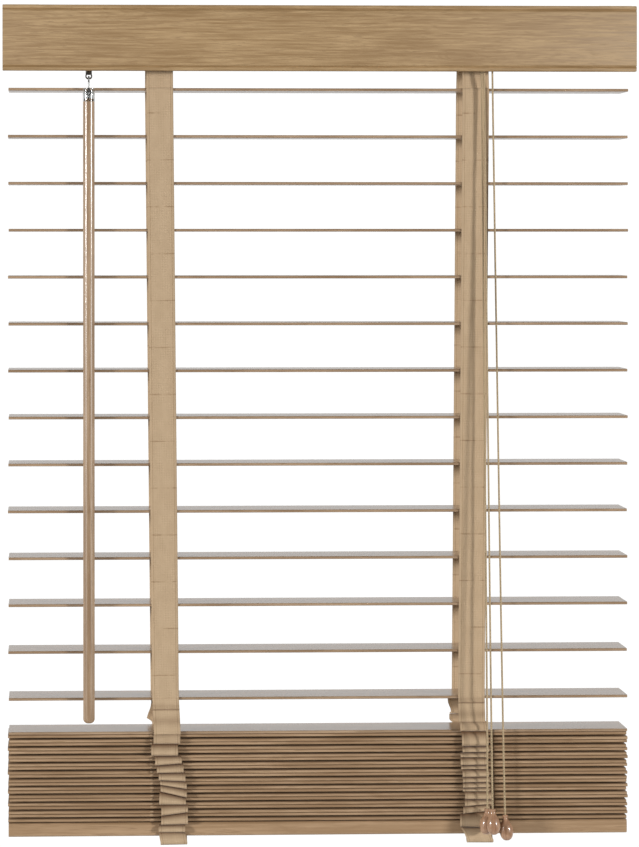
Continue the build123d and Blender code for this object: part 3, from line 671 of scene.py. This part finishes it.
def lathe(name, profile, origin, axis, material):
    """A turned piece: (radius, distance along axis) pairs from end to end."""
    origin, axis = Vector(origin), Vector(axis).normalized()
    side = axis.orthogonal().normalized()
    up = axis.cross(side)
    vertices, faces = skin([
        [origin + axis * along + (side * math.cos(t) + up * math.sin(t)) * radius for t in full_circle(56)]
        for radius, along in profile
    ])
    return new_piece(name, vertices, faces, material)


def smooth_profile(knots, steps=6):
    """Points on a smooth line through knots of (radius, distance)."""
    points = []
    for k in range(len(knots) - 1):
        before = knots[max(k - 1, 0)]
        a, b = knots[k], knots[k + 1]
        after = knots[min(k + 2, len(knots) - 1)]
        for i in range(steps):
            t = i / steps
            points.append(tuple(
                0.5 * ((2 * a[n]) + (b[n] - before[n]) * t
                       + (2 * before[n] - 5 * a[n] + 4 * b[n] - after[n]) * t ** 2
                       + (3 * a[n] - before[n] - 3 * b[n] + after[n]) * t ** 3)
                for n in (0, 1)
            ))
    points.append(knots[-1])
    return points


def settle(piece, body, slot, *nodes):
    """Attach a finished piece to the body it rides on and hide the CAD nodes it stands for; slot is not used."""
    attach(piece, body)
    return name_parts(piece, slot, *nodes)


def name_parts(piece, slot, *nodes):
    """Hide the CAD nodes that a piece stands for; slot, the finish it would take, is not used."""
    if nodes:
        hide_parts(*nodes)
    return piece


# the camera, in metres and degrees, with its focal length in the units of the picture's longer side
CAMERA_PLACE = (-0.2495, -3.1816, -0.2166)
CAMERA_YAW, CAMERA_PITCH = 2.341, -0.642
CAMERA_SHIFT = (0.15, -0.18)
CAMERA_FOCAL, PICTURE_LONG_SIDE = 3330.0, 847


class BlindOperator:
    """What the blind's operators share."""
    bl_options = {"REGISTER", "UNDO"}


class BLIND_OT_stage(BlindOperator, bpy.types.Operator):
    """Make the camera, the lights and the floor"""
    bl_idname = "blind.stage"
    bl_label = "Stage"

    def execute(self, context):
        studio = context.scene.blind_studio
        context.scene.view_settings.view_transform = "Standard"
        data = bpy.data.cameras.new("Camera")
        camera = bpy.data.objects.new("Camera", data)
        context.scene.collection.objects.link(camera)
        context.scene.camera = camera
        data.sensor_fit = "AUTO"
        data.sensor_width = 36.0
        data.lens = data.sensor_width * CAMERA_FOCAL / PICTURE_LONG_SIDE
        data.shift_x, data.shift_y = CAMERA_SHIFT
        yaw, pitch = math.radians(CAMERA_YAW), math.radians(CAMERA_PITCH)
        ahead = Vector((math.sin(yaw) * math.cos(pitch), math.cos(yaw) * math.cos(pitch), math.sin(pitch)))
        right = Vector((math.cos(yaw), -math.sin(yaw), 0))
        camera.matrix_world = Matrix.Translation(Vector(CAMERA_PLACE)) @ Matrix(
            (right, right.cross(ahead), -ahead)).transposed().to_4x4()
        data.clip_start, data.clip_end = 0.05, 60

        world = bpy.data.worlds.new("Studio")
        context.scene.world = world
        world.use_nodes = True
        tree = world.node_tree
        tree.nodes.clear()
        seen = put(tree, "ShaderNodeBackground", {"Color": (1, 1, 1, 1), "Strength": 1.05})
        toward = put(tree, "ShaderNodeTexCoord").outputs["Generated"]
        behind = put(tree, "ShaderNodeSeparateXYZ", {0: toward}).outputs[1]
        strength = remap(tree, behind, -0.25, 0.35, studio.surround, studio.backdrop)
        lit = put(tree, "ShaderNodeBackground", {"Color": (1, 0.995, 0.985, 1), "Strength": strength})
        path = put(tree, "ShaderNodeLightPath")
        both = put(tree, "ShaderNodeMixShader", {0: path.outputs["Is Camera Ray"], 1: lit.outputs[0],
                                                 2: seen.outputs[0]})
        put(tree, "ShaderNodeOutputWorld", {"Surface": both.outputs[0]})

        target = Vector((0.0, -0.03, -0.42))
        for name, place, size, power in (
            ("Key", (4.3, -3.5, 0.15), 0.8, studio.key_power),
            ("Fill", (-4.7, -2.7, 0.1), 1.0, studio.fill_power),
        ):
            light = bpy.data.lights.new(name, "AREA")
            light.shape = "DISK"
            light.size = size
            light.energy = power
            holder = bpy.data.objects.new(name, light)
            holder.location = place
            holder.rotation_euler = (target - Vector(place)).to_track_quat("-Z", "Y").to_euler()
            context.scene.collection.objects.link(holder)

        floor_z = -studio.floor_drop / MM
        vertices, faces = skin([
            [(radius * math.cos(t), radius * math.sin(t), z) for t in full_circle(96)]
            for radius, z in ((1400, floor_z - 30), (1400, floor_z - 6), (1394, floor_z), (1, floor_z))
        ])
        floor_paint()
        floor = new_piece("Floor", vertices, faces, "Floor", smooth=False)
        return {"FINISHED"}


def floor_paint():
    """A plain pale floor."""
    material, tree, shader = start_material("Floor")
    spot = put(tree, "ShaderNodeTexCoord").outputs["Object"]
    mottle = group_node(tree, "Finish Mottle", {"Vector": spot, "Base": 0.6, "Spread": 0.1, "Scale": 8.0})
    tree.links.new(mix(tree, mottle.outputs["Mask"], (0.80, 0.80, 0.79, 1), (0.76, 0.76, 0.75, 1)),
                   shader.inputs["Base Color"])
    tree.links.new(mottle.outputs["Roughness"], shader.inputs["Roughness"])
    return material


TASSEL_KNOTS = (
    (1.05, 3.0), (1.05, 0.4), (1.5, 0.0), (2.35, 0.15), (2.85, 0.9), (2.6, 1.9), (2.35, 2.9), (2.55, 4.3),
    (3.4, 6.2), (4.7, 8.6), (5.75, 11.2), (6.35, 14.4), (6.3, 17.6), (5.6, 20.6), (4.2, 22.9),
    (2.7, 24.1), (1.8, 24.3), (1.4, 23.4),
)


class BLIND_OT_pull_cords(BlindOperator, bpy.types.Operator):
    """Make the three pull cords and their turned tassels"""
    bl_idname = "blind.pull_cords"
    bl_label = "Pull cords"

    def execute(self, context):
        diameter = context.scene.blind_sizes.cord_diameter
        for number, route in enumerate(PULL_ROUTES, 1):
            end, before = Vector(route[-1]), Vector(route[-2])
            hang = (end - before).normalized()
            tassel = lathe(f"tassel_{number}", smooth_profile(TASSEL_KNOTS), end - hang * 4.0, hang,
                           "Turned wood")
            settle(tassel, "tassels", "tassel_wood", "tassels")
            points = spline_points(route)
            cord = round_tube(f"pull_cord_{number}_braid", points, diameter / MM / 2, "Cord braid")
            settle(cord, ROOT, "cord", f"pull_cord_{number}")
            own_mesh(cord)
        return {"FINISHED"}


class BLIND_OT_valance(BlindOperator, bpy.types.Operator):
    """Make the valance board with its beads and grooves"""
    bl_idname = "blind.valance"
    bl_label = "Valance"

    def execute(self, context):
        sizes = context.scene.blind_sizes
        low, high = (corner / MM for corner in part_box("valance"))
        bead, groove = sizes.bead_height / MM, sizes.groove_depth / MM
        middle_z, half = (low.z + high.z) / 2, (high.z - low.z) / 2
        face, back, ease = low.y, high.y, 0.5
        # the upper half of the section, round the back's eased edge, the bead and the groove
        upper = [(back, 0.0), (back, half - ease), (back - ease, half)]
        reach = groove - 0.55
        for i in range(13):
            turn = math.pi / 2 * (1 - i / 6)
            upper.append((face + groove - reach * math.cos(turn), half - bead / 2 + bead / 2 * math.sin(turn)))
        upper += [(face + groove + 0.25, half - bead - 0.2), (face + groove, half - bead - 0.5),
                  (face + 0.5, half - bead - 1.35), (face + 0.1, half - bead - 1.75), (face, half - bead - 2.3),
                  (face, 0.0)]
        outline = upper + [(y, -z) for y, z in reversed(upper[1:-1])]
        # the section at each x, drawn in a little at the sawn ends
        shrink = ((low.x, 0.55), (low.x + 0.15, 0.2), (low.x + 0.55, 0.0),
                  (high.x - 0.55, 0.0), (high.x - 0.15, 0.2), (high.x, 0.55))
        centre_y = (face + back) / 2
        rings = []
        for x, inset in shrink:
            scale_y = 1 - 2 * inset / (back - face)
            scale_z = 1 - inset / half
            rings.append([(x, centre_y + (y - centre_y) * scale_y, middle_z + z * scale_z) for y, z in outline])
        vertices, faces = skin(rings)
        board = new_piece("valance_board", vertices, faces, "Oak", smooth=False)
        board.data.shade_smooth()
        board.data.set_sharp_from_angle(angle=math.radians(32))
        settle(board, ROOT, "wood", "valance")
        return {"FINISHED"}


class BLIND_OT_slats(BlindOperator, bpy.types.Operator):
    """Finish the slats and the bottom rail in oak"""
    bl_idname = "blind.slats"
    bl_label = "Slats and bottom rail"

    def execute(self, context):
        dress([f"slat_{k + 1:02d}" for k in range(OPEN_SLATS)], "Slat oak")
        dress(["stack_slat_01"], "Slat oak")
        dress([f"stack_slat_{k + 1:02d}" for k in range(1, LEAVING_SLATS)] + ["rail_slats"], "Stack oak")
        dress(["bottom_rail"], "Rail oak")
        dress(["rail_plugs"], "Moulded plastic")
        return {"FINISHED"}


def tape_middle_x(hand, z):
    """Where a straight tape's middle is, at a height; hand is 0 for the left tape and 1 for the right."""
    top, low = FIRST_SLAT_Z + 4, LAST_OPEN_Z - 4
    share = (top - z) / (top - low)
    return LADDER_X[hand] + (LADDER_LOW_X[hand] - LADDER_X[hand]) * share


class BLIND_OT_ladder_tapes(BlindOperator, bpy.types.Operator):
    """Make the ladder tapes from the drums to the lowest open slat"""
    bl_idname = "blind.ladder_tapes"
    bl_label = "Ladder tapes"
    # how far a tape bows out between slats, drifts, and stands out at a crease, and a crease's reach
    BOW, DRIFT, RIDGE, RIDGE_REACH = 0.16, 0.10, 0.32, 3.0
    CLEARANCE = 0.12

    def execute(self, context):
        for side, place in SIDES:
            for hand, word in enumerate(HANDS):
                self.straight(side, place, hand, word)
                self.top(side, place, hand, word)
                self.low(side, place, hand, word)
        return {"FINISHED"}

    def straight(self, side, place, hand, word):
        """The stretch that passes the open slats, creased halfway between them."""
        stations = []
        start, end, step = FIRST_SLAT_Z + TAPE_OVERRUN, LAST_OPEN_Z - TAPE_OVERRUN, PITCH / 20
        count = round((start - end) / step)
        lean = Vector((tape_middle_x(hand, end) - tape_middle_x(hand, start), 0, end - start)).normalized()
        across = Vector((abs(lean.z), 0, lean.x))
        for k in range(count + 1):
            height = start + (end - start) * k / count
            cell = (FIRST_SLAT_Z - height) / PITCH
            near = abs(cell % 1 - 0.5) * PITCH
            drift = self.DRIFT * math.sin(cell * 2.1 + hand + side)
            inward = -0.6 if round(cell - 0.5) % 3 == 0 else 1
            ridge = self.RIDGE * max(0.0, 1 - near / self.RIDGE_REACH) * inward
            bow = self.BOW * math.sin(math.pi * (cell % 1))
            y = side * (TAPE_Y + self.CLEARANCE + bow + ridge + max(drift, -0.8 * self.DRIFT))
            stations.append(((tape_middle_x(hand, height), y, height), across, (0, side, 0)))
        piece = ribbon(f"{place}_tape_{word}", stations, "Tape cloth", start=PITCH - TAPE_OVERRUN)
        settle(piece, f"{place}_ladder", "tape", f"{place}_ladder_tapes")

    def top(self, side, place, hand, word):
        """The end that comes down from the drum and slants out to the first slat's edge."""
        x, radius = LADDER_X[hand], DRUM_RADIUS + 0.45
        stations = []
        # over the drum, from near its top to its side
        for k in range(13):
            turn = math.radians(84 - 7 * k)
            away = Vector((0, side * math.cos(turn), math.sin(turn)))
            stations.append((Vector((x, 0, DRUM_Z)) + away * radius, (1, 0, 0), away))
        start = Vector((x, side * radius, DRUM_Z))
        end = Vector((x, side * (TAPE_Y - 0.1), FIRST_SLAT_Z - 0.4))
        run = (end - start).normalized()
        away = Vector((0, -run.z, run.y)) * side
        # and straight out to the slat's edge
        for k in range(1, 15):
            stations.append((start.lerp(end, k / 14), (1, 0, 0), away))
        piece = ribbon(f"{place}_tape_top_{word}", stations, "Folded tape cloth")
        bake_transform(piece)
        name_parts(piece, "tape", "tape_tops")

    def low(self, side, place, hand, word):
        """The stretch from the lowest open slat down to the first fold on the stack."""
        stations, painted_shade = [], []
        top, low = LAST_OPEN_Z + 0.4, FOLDS[hand][0][0] - 0.4
        crease_z = CREASE_Z[hand]
        count = 40
        for k in range(count + 1):
            z = top + (low - top) * k / count
            # painted shade: a dark line at the crease, a fainter band above it and a broad darker patch below it
            painted_shade.append(sum(
                depth * math.exp(-((z - crease_z - rise) / spread) ** 2)
                for depth, rise, spread in ((0.6, -0.2, 0.8), (0.22, 3.0, 2.2), (0.30, -11.0, 4.0))
            ))
            x = LADDER_LOW_X[hand] + (FOLDS[hand][0][2] - LADDER_LOW_X[hand]) * k / count
            lip = 0.9 * math.exp(-((z - crease_z - 0.8) / 1.1) ** 2) * (1 if z > crease_z else 0.3)
            out = 0.5 + 1.9 * (k / count) ** 1.6 + lip  # further out towards the first fold
            tilt = 0.012 * math.sin(k * 0.7 + hand * 2)
            if side == BACK:
                x -= slack_at(hand, z)
            stations.append(((x, side * (TAPE_Y + out), z), Vector((1, 0, tilt)).normalized(), (0, side, 0)))
        piece = ribbon(f"{place}_tape_low_{word}", stations, "Folded tape cloth", start=11.0, painted_shade=painted_shade)
        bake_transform(piece)
        name_parts(piece, "tape", "tape_folds")


def slack_at(hand, z):
    """How far a back tape swings to the left at a height."""
    for (upper, first), (lower, second) in zip(SLACK[hand], SLACK[hand][1:]):
        if lower <= z <= upper:
            return first + (second - first) * (upper - z) / (upper - lower)
    return 0.0


# one fold: (share of the fold's height from its top, how far it stands out, how much painted shade its colour takes)
FOLD_SHAPE = ((0.02, 0.4, 1.0), (0.06, 1.5, 0.92), (0.13, 2.5, 0.8), (0.24, 3.5, 0.58), (0.38, 4.4, 0.32),
              (0.54, 5.1, 0.12), (0.70, 5.5, 0.0), (0.84, 5.3, 0.12), (0.93, 4.6, 0.34), (0.998, 3.0, 0.7),
              (1.004, 1.4, 0.9))


class BLIND_OT_tape_folds(BlindOperator, bpy.types.Operator):
    """Make the tapes' folds against the stack and their ends under the bottom rail"""
    bl_idname = "blind.tape_folds"
    bl_label = "Tape folds"

    def execute(self, context):
        for side, place in SIDES:
            for hand, word in enumerate(HANDS):
                self.fold(side, place, hand, word)
        return {"FINISHED"}

    def fold(self, side, place, hand, word):
        stations, painted_shade = [], []
        folds = FOLDS[hand]
        for number, (above, below) in enumerate(zip(folds, folds[1:])):
            swell = 0.5 * math.sin(number * 2.3 + hand) + 0.15 * side
            for share, out, shade in FOLD_SHAPE:
                left = above[0] + (below[0] - above[0]) * share
                right = above[1] + (below[1] - above[1]) * share
                x = below[2] + (above[2] - below[2]) * max(0.0, 0.25 - share)
                if side == BACK:
                    x -= slack_at(hand, (left + right) / 2)
                out += swell * share
                middle = (x, side * (TAPE_Y - 0.2 + out), (left + right) / 2)
                slope = (right - left) / tape_width()
                # painted shade: each fold is darkest under the lip above it; the first fold takes a lighter share
                painted_shade.append(shade if number else max(0.14, 0.4 * shade))
                stations.append((middle, Vector((1, 0, slope)).normalized(), (0, side, 0)))
        last = folds[-1]
        x0, x1 = last[2], TAIL_X[hand]
        # down past the rail, round its bottom edge and back under it
        tail = ((0.9, last[0] - 0.3), (2.4, last[0] - 3.0), (3.3, last[0] - 7.0), (3.2, TAIL_Z + 2.2),
                (2.4, TAIL_Z + 0.6), (1.0, TAIL_Z), (-0.8, TAIL_Z + 0.5), (-3.0, TAIL_Z + 2.2),
                (-6.5, RAIL_BOTTOM_Z - 1.6), (-10.0, RAIL_BOTTOM_Z - 0.65), (-15.4, RAIL_BOTTOM_Z - 0.5))
        for k, (out, z) in enumerate(tail):
            x = x0 + (x1 - x0) * min(1.0, k / 3)
            tilt = (0.015, -0.01)[hand]
            back = tail[max(k - 1, 0)]
            ahead = tail[min(k + 1, len(tail) - 1)]
            run = Vector((0, side * (ahead[0] - back[0]), ahead[1] - back[1])).normalized()
            away = Vector((0, -run.z, run.y)) * side
            stations.append(((x, side * (TAPE_Y + out), z), Vector((1, 0, tilt)).normalized(), away))
            # painted shade: dark just below the last fold, clear down the rail's face, darker again round and under
            # the rail
            painted_shade.append((0.8, 0.3, 0.0, 0.0, 0.15, 0.4)[min(k, 5)])
        piece = ribbon(f"{place}_tape_folds_{word}", stations, "Folded tape cloth", start=47.0, painted_shade=painted_shade)
        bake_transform(piece)
        name_parts(piece, "tape", "tape_folds")


def rung_tree():
    """Geometry nodes for the rungs under one slat: flat bands that turn up where they meet the tapes."""
    tree = bpy.data.node_groups.new("Ladder Rungs", "GeometryNodeTree")
    face = tree.interface
    face.new_socket(name="Geometry", in_out="INPUT", socket_type="NodeSocketGeometry")
    for label, kind in (
        ("Left Ladder", VECTOR), ("Right Ladder", VECTOR), ("Spacing", FLOAT), ("Reach", FLOAT),
        ("Width", FLOAT), ("Thickness", FLOAT), ("Rise", FLOAT), ("Material", "NodeSocketMaterial"),
    ):
        face.new_socket(name=label, in_out="INPUT", socket_type=kind)
    face.new_socket(name="Geometry", in_out="OUTPUT", socket_type="NodeSocketGeometry")
    given = tree.nodes.new("NodeGroupInput").outputs
    out = tree.nodes.new("NodeGroupOutput")

    back = put(tree, "ShaderNodeCombineXYZ", {1: given["Reach"]}).outputs[0]
    front = put(tree, "ShaderNodeCombineXYZ", {1: calc(tree, "MULTIPLY", given["Reach"], -1.0)}).outputs[0]
    line = put(tree, "GeometryNodeCurvePrimitiveLine", {"Start": front, "End": back}).outputs[0]
    line = put(tree, "GeometryNodeResampleCurve", {"Curve": line, "Count": 61}).outputs[0]
    place = put(tree, "GeometryNodeInputPosition").outputs[0]
    y = put(tree, "ShaderNodeSeparateXYZ", {0: place}).outputs[1]
    share = calc(tree, "DIVIDE", calc(tree, "ABSOLUTE", y), given["Reach"])
    lift = put(tree, "ShaderNodeMapRange", {"Value": share, "From Min": 0.93, "From Max": 1.0, "To Min": 0.0,
                                            "To Max": 1.0}, interpolation_type="SMOOTHERSTEP").outputs[0]
    lift = calc(tree, "MULTIPLY", calc(tree, "POWER", lift, 2.0), given["Rise"])
    raised = put(tree, "GeometryNodeSetPosition", {
        "Geometry": line, "Offset": put(tree, "ShaderNodeCombineXYZ", {2: lift}).outputs[0]}).outputs[0]
    band = put(tree, "GeometryNodeCurvePrimitiveQuadrilateral",
               {"Width": given["Width"], "Height": given["Thickness"]}).outputs[0]
    rung = put(tree, "GeometryNodeCurveToMesh", {"Curve": raised, "Profile Curve": band,
                                                 "Fill Caps": True}).outputs[0]
    spots = put(tree, "GeometryNodeJoinGeometry")
    gap = put(tree, "ShaderNodeCombineXYZ", {0: given["Spacing"]}).outputs[0]
    half = stretch(tree, gap, (0.5, 0.5, 0.5))
    for label in ("Left Ladder", "Right Ladder"):
        first = aim(tree, "SUBTRACT", given[label], half)
        pair = put(tree, "GeometryNodeMeshLine", {"Count": 2, "Start Location": first, "Offset": gap}).outputs[0]
        tree.links.new(pair, spots.inputs[0])
    many = put(tree, "GeometryNodeInstanceOnPoints", {"Points": spots.outputs[0], "Instance": rung}).outputs[0]
    real = put(tree, "GeometryNodeRealizeInstances", {0: many}).outputs[0]
    done = put(tree, "GeometryNodeSetMaterial", {"Geometry": real, "Material": given["Material"]}).outputs[0]
    tree.links.new(done, out.inputs[0])
    return tree


def set_input(modifier, label, value):
    """Set a geometry nodes input by its socket's identifier."""
    for item in modifier.node_group.interface.items_tree:
        if item.in_out == "INPUT" and item.name == label:
            modifier[item.identifier] = value


def rungs_at(name, heights, middles):
    """The rungs at some slat heights, as one plain mesh: middles are the two ladders' x at each height."""
    sizes = bpy.context.scene.blind_sizes
    tree = bpy.data.node_groups.get("Ladder Rungs") or rung_tree()
    joined = bmesh.new()
    for z, (left, right) in zip(heights, middles):
        holder = bpy.data.objects.new("rungs", bpy.data.meshes.new("rungs"))
        bpy.context.scene.collection.objects.link(holder)
        made = holder.modifiers.new("rungs", "NODES")
        made.node_group = tree
        under = (z - SLAT_HALF - RUNG_CLEARANCE) * MM - sizes.rung_thickness / 2
        for label, value in (
            ("Left Ladder", (left * MM, 0, under)), ("Right Ladder", (right * MM, 0, under)),
            ("Spacing", sizes.rung_spacing), ("Reach", sizes.rung_reach), ("Width", sizes.rung_width),
            ("Thickness", sizes.rung_thickness), ("Rise", RUNG_RISE * MM), ("Material", finish("Folded tape cloth")),
        ):
            set_input(made, label, value)
        bpy.context.view_layer.update()
        mesh = bpy.data.meshes.new_from_object(holder.evaluated_get(bpy.context.evaluated_depsgraph_get()))
        joined.from_mesh(mesh)
        holder.modifiers.remove(made)
        bpy.data.objects.remove(holder)
        bpy.data.meshes.remove(mesh)
    bmesh.ops.recalc_face_normals(joined, faces=joined.faces)
    mesh = bpy.data.meshes.new(name)
    joined.to_mesh(mesh)
    joined.free()
    layer = mesh.uv_layers.get("UVMap") or mesh.uv_layers.new(name="UVMap")
    for loop in mesh.loops:
        spot = mesh.vertices[loop.vertex_index].co / MM
        layer.data[loop.index].uv = (spot.x - middles[0][0] + 6.0, spot.y)
    mesh.materials.clear()
    mesh.materials.append(finish("Folded tape cloth"))
    piece = bpy.data.objects.new(name, mesh)
    bpy.context.scene.collection.objects.link(piece)
    return piece


class BLIND_OT_rungs(BlindOperator, bpy.types.Operator):
    """Make the rungs that join the tapes under every slat"""
    bl_idname = "blind.rungs"
    bl_label = "Rungs"

    def execute(self, context):
        for k in range(OPEN_SLATS):
            z = FIRST_SLAT_Z - PITCH * k
            piece = rungs_at(f"rungs_{k + 1:02d}", [z], [(tape_middle_x(0, z), tape_middle_x(1, z))])
            settle(piece, f"slat_{k + 1:02d}", "tape")
        heights = [
            STACK_TOP_Z - SLAT_HALF - (k // 2) * PAIR_STEP - (k % 2) * SLAT_STEP
            for k in range(LEAVING_SLATS + RESTING_SLATS)
        ]
        for k in range(LEAVING_SLATS):
            piece = rungs_at(f"stack_rungs_{k + 1:02d}", [heights[k]], [LADDER_X])
            settle(piece, f"stack_slat_{k + 1:02d}", "tape")
        piece = rungs_at("rail_rungs", heights[LEAVING_SLATS:], [LADDER_X] * RESTING_SLATS)
        settle(piece, "bottom_rail", "tape")
        return {"FINISHED"}


class BLIND_OT_lift_cords(BlindOperator, bpy.types.Operator):
    """Make the lift cords, from the bottom rail up to the cord lock"""
    bl_idname = "blind.lift_cords"
    bl_label = "Lift cords"

    def execute(self, context):
        for number, route in enumerate(LIFT_ROUTES, 1):
            radius = context.scene.blind_sizes.cord_diameter / MM / 2
            piece = round_tube(f"lift_cord_{number}", spline_points(route), radius, "Cord braid", 10)
            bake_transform(piece)
            name_parts(piece, "cord", "lift_cords")
        return {"FINISHED"}


class BLIND_OT_wand(BlindOperator, bpy.types.Operator):
    """Make the tilt wand with its screw eye, hook and clear sleeve"""
    bl_idname = "blind.wand"
    bl_label = "Tilt wand"

    def execute(self, context):
        spigot = 4.58  # the turned-down end that fills the sleeve
        knots = [(0.3, WAND_BOTTOM_Z)]
        for k in range(1, 10):
            turn = math.pi / 2 * k / 9
            knots.append((1.1 + (WAND_RADIUS - 1.1) * math.sin(turn), WAND_BOTTOM_Z + 4.4 * (1 - math.cos(turn))))
        knots += [(WAND_RADIUS, z) for z in range(-660, -110, 25)]
        knots += [(WAND_RADIUS, SLEEVE_BOTTOM_Z - 0.35), (WAND_RADIUS - 0.3, SLEEVE_BOTTOM_Z - 0.02),
                  (spigot, SLEEVE_BOTTOM_Z), (spigot, SLEEVE_BOTTOM_Z + 2.3), (spigot - 0.3, SLEEVE_BOTTOM_Z + 2.7),
                  (0.9, SLEEVE_BOTTOM_Z + 2.7)]
        stick = lathe("wand_stick", knots, (WAND_X, WAND_Y, 0), (0, 0, 1), "Wand oak")
        stick.data.set_sharp_from_angle(angle=math.radians(40))
        settle(stick, "wand_rod", "rod_wood", "wand_rod")
        loop, wire = 2.0, 0.75  # the eye's radius and its wire's
        middle = WAND_PIVOT_Z + 1.6 - loop
        line = [(0, 0, SLEEVE_BOTTOM_Z - 9), (0, 0, SLEEVE_BOTTOM_Z), (0, 0, middle - loop - 1.4),
                (0.25, 0, middle - loop - 0.5)]
        for k in range(22):
            turn = math.radians(-70 + 15.2 * k)
            line.append((loop * math.cos(turn), 0, middle + loop * math.sin(turn)))
        eye = round_tube("wand_screw_eye", [Vector(p) + Vector((WAND_X, WAND_Y, 0)) for p in line], wire,
                         "Zinc steel", 14)
        settle(eye, "wand_rod", "steel", "wand_rod")
        dress(["wand_sleeve"], "Clear plastic")
        dress(["wand_hook", "tilter_stem"], "Zinc steel")
        return {"FINISHED"}


class BLIND_OT_hardware(BlindOperator, bpy.types.Operator):
    """Finish the headrail, brackets and the mechanism inside"""
    bl_idname = "blind.hardware"
    bl_label = "Headrail and fittings"

    def execute(self, context):
        dress(["headrail", "brackets", "bracket_gate_left", "bracket_gate_right"], "Cream enamel")
        dress(["headrail_end_caps", "tilter_housing", "tilter_gear", "tape_drums", "drum_cradles",
               "cord_lock_housing"], "Moulded plastic")
        dress(["valance_clips"], "Clear plastic")
        dress(["tilt_rod"], "Zinc steel")
        dress(["cord_lock_roller"], "Brass")
        return {"FINISHED"}


MAKERS = (
    BLIND_OT_stage,
    BLIND_OT_pull_cords,
    BLIND_OT_valance,
    BLIND_OT_slats,
    BLIND_OT_ladder_tapes,
    BLIND_OT_tape_folds,
    BLIND_OT_rungs,
    BLIND_OT_lift_cords,
    BLIND_OT_wand,
    BLIND_OT_hardware,
)


class BLIND_PT_panel(bpy.types.Panel):
    """The blind's sizes, colours and makers"""
    bl_idname = "BLIND_PT_panel"
    bl_label = "Venetian Blind"
    bl_space_type = "VIEW_3D"
    bl_region_type = "UI"
    bl_category = "Blind"

    def draw(self, context):
        for maker in MAKERS:
            self.layout.operator(maker.bl_idname)
        for group in (context.scene.blind_sizes, context.scene.blind_colours, context.scene.blind_studio):
            column = self.layout.column()
            for name in group.__annotations__:
                column.prop(group, name)


CLASSES = (BlindSizes, BlindColours, BlindStudio, *MAKERS, BLIND_PT_panel)


def register():
    for kind in CLASSES:
        bpy.utils.register_class(kind)
    bpy.types.Scene.blind_sizes = bpy.props.PointerProperty(type=BlindSizes)
    bpy.types.Scene.blind_colours = bpy.props.PointerProperty(type=BlindColours)
    bpy.types.Scene.blind_studio = bpy.props.PointerProperty(type=BlindStudio)


def unregister():
    for name in ("blind_studio", "blind_colours", "blind_sizes"):
        delattr(bpy.types.Scene, name)
    for kind in reversed(CLASSES):
        bpy.utils.unregister_class(kind)


def main():
    register()
    for maker in MAKERS:
        group, name = maker.bl_idname.split(".")
        getattr(getattr(bpy.ops, group), name)()
    bpy.context.view_layer.update()


if __name__ == "__main__":
    main()
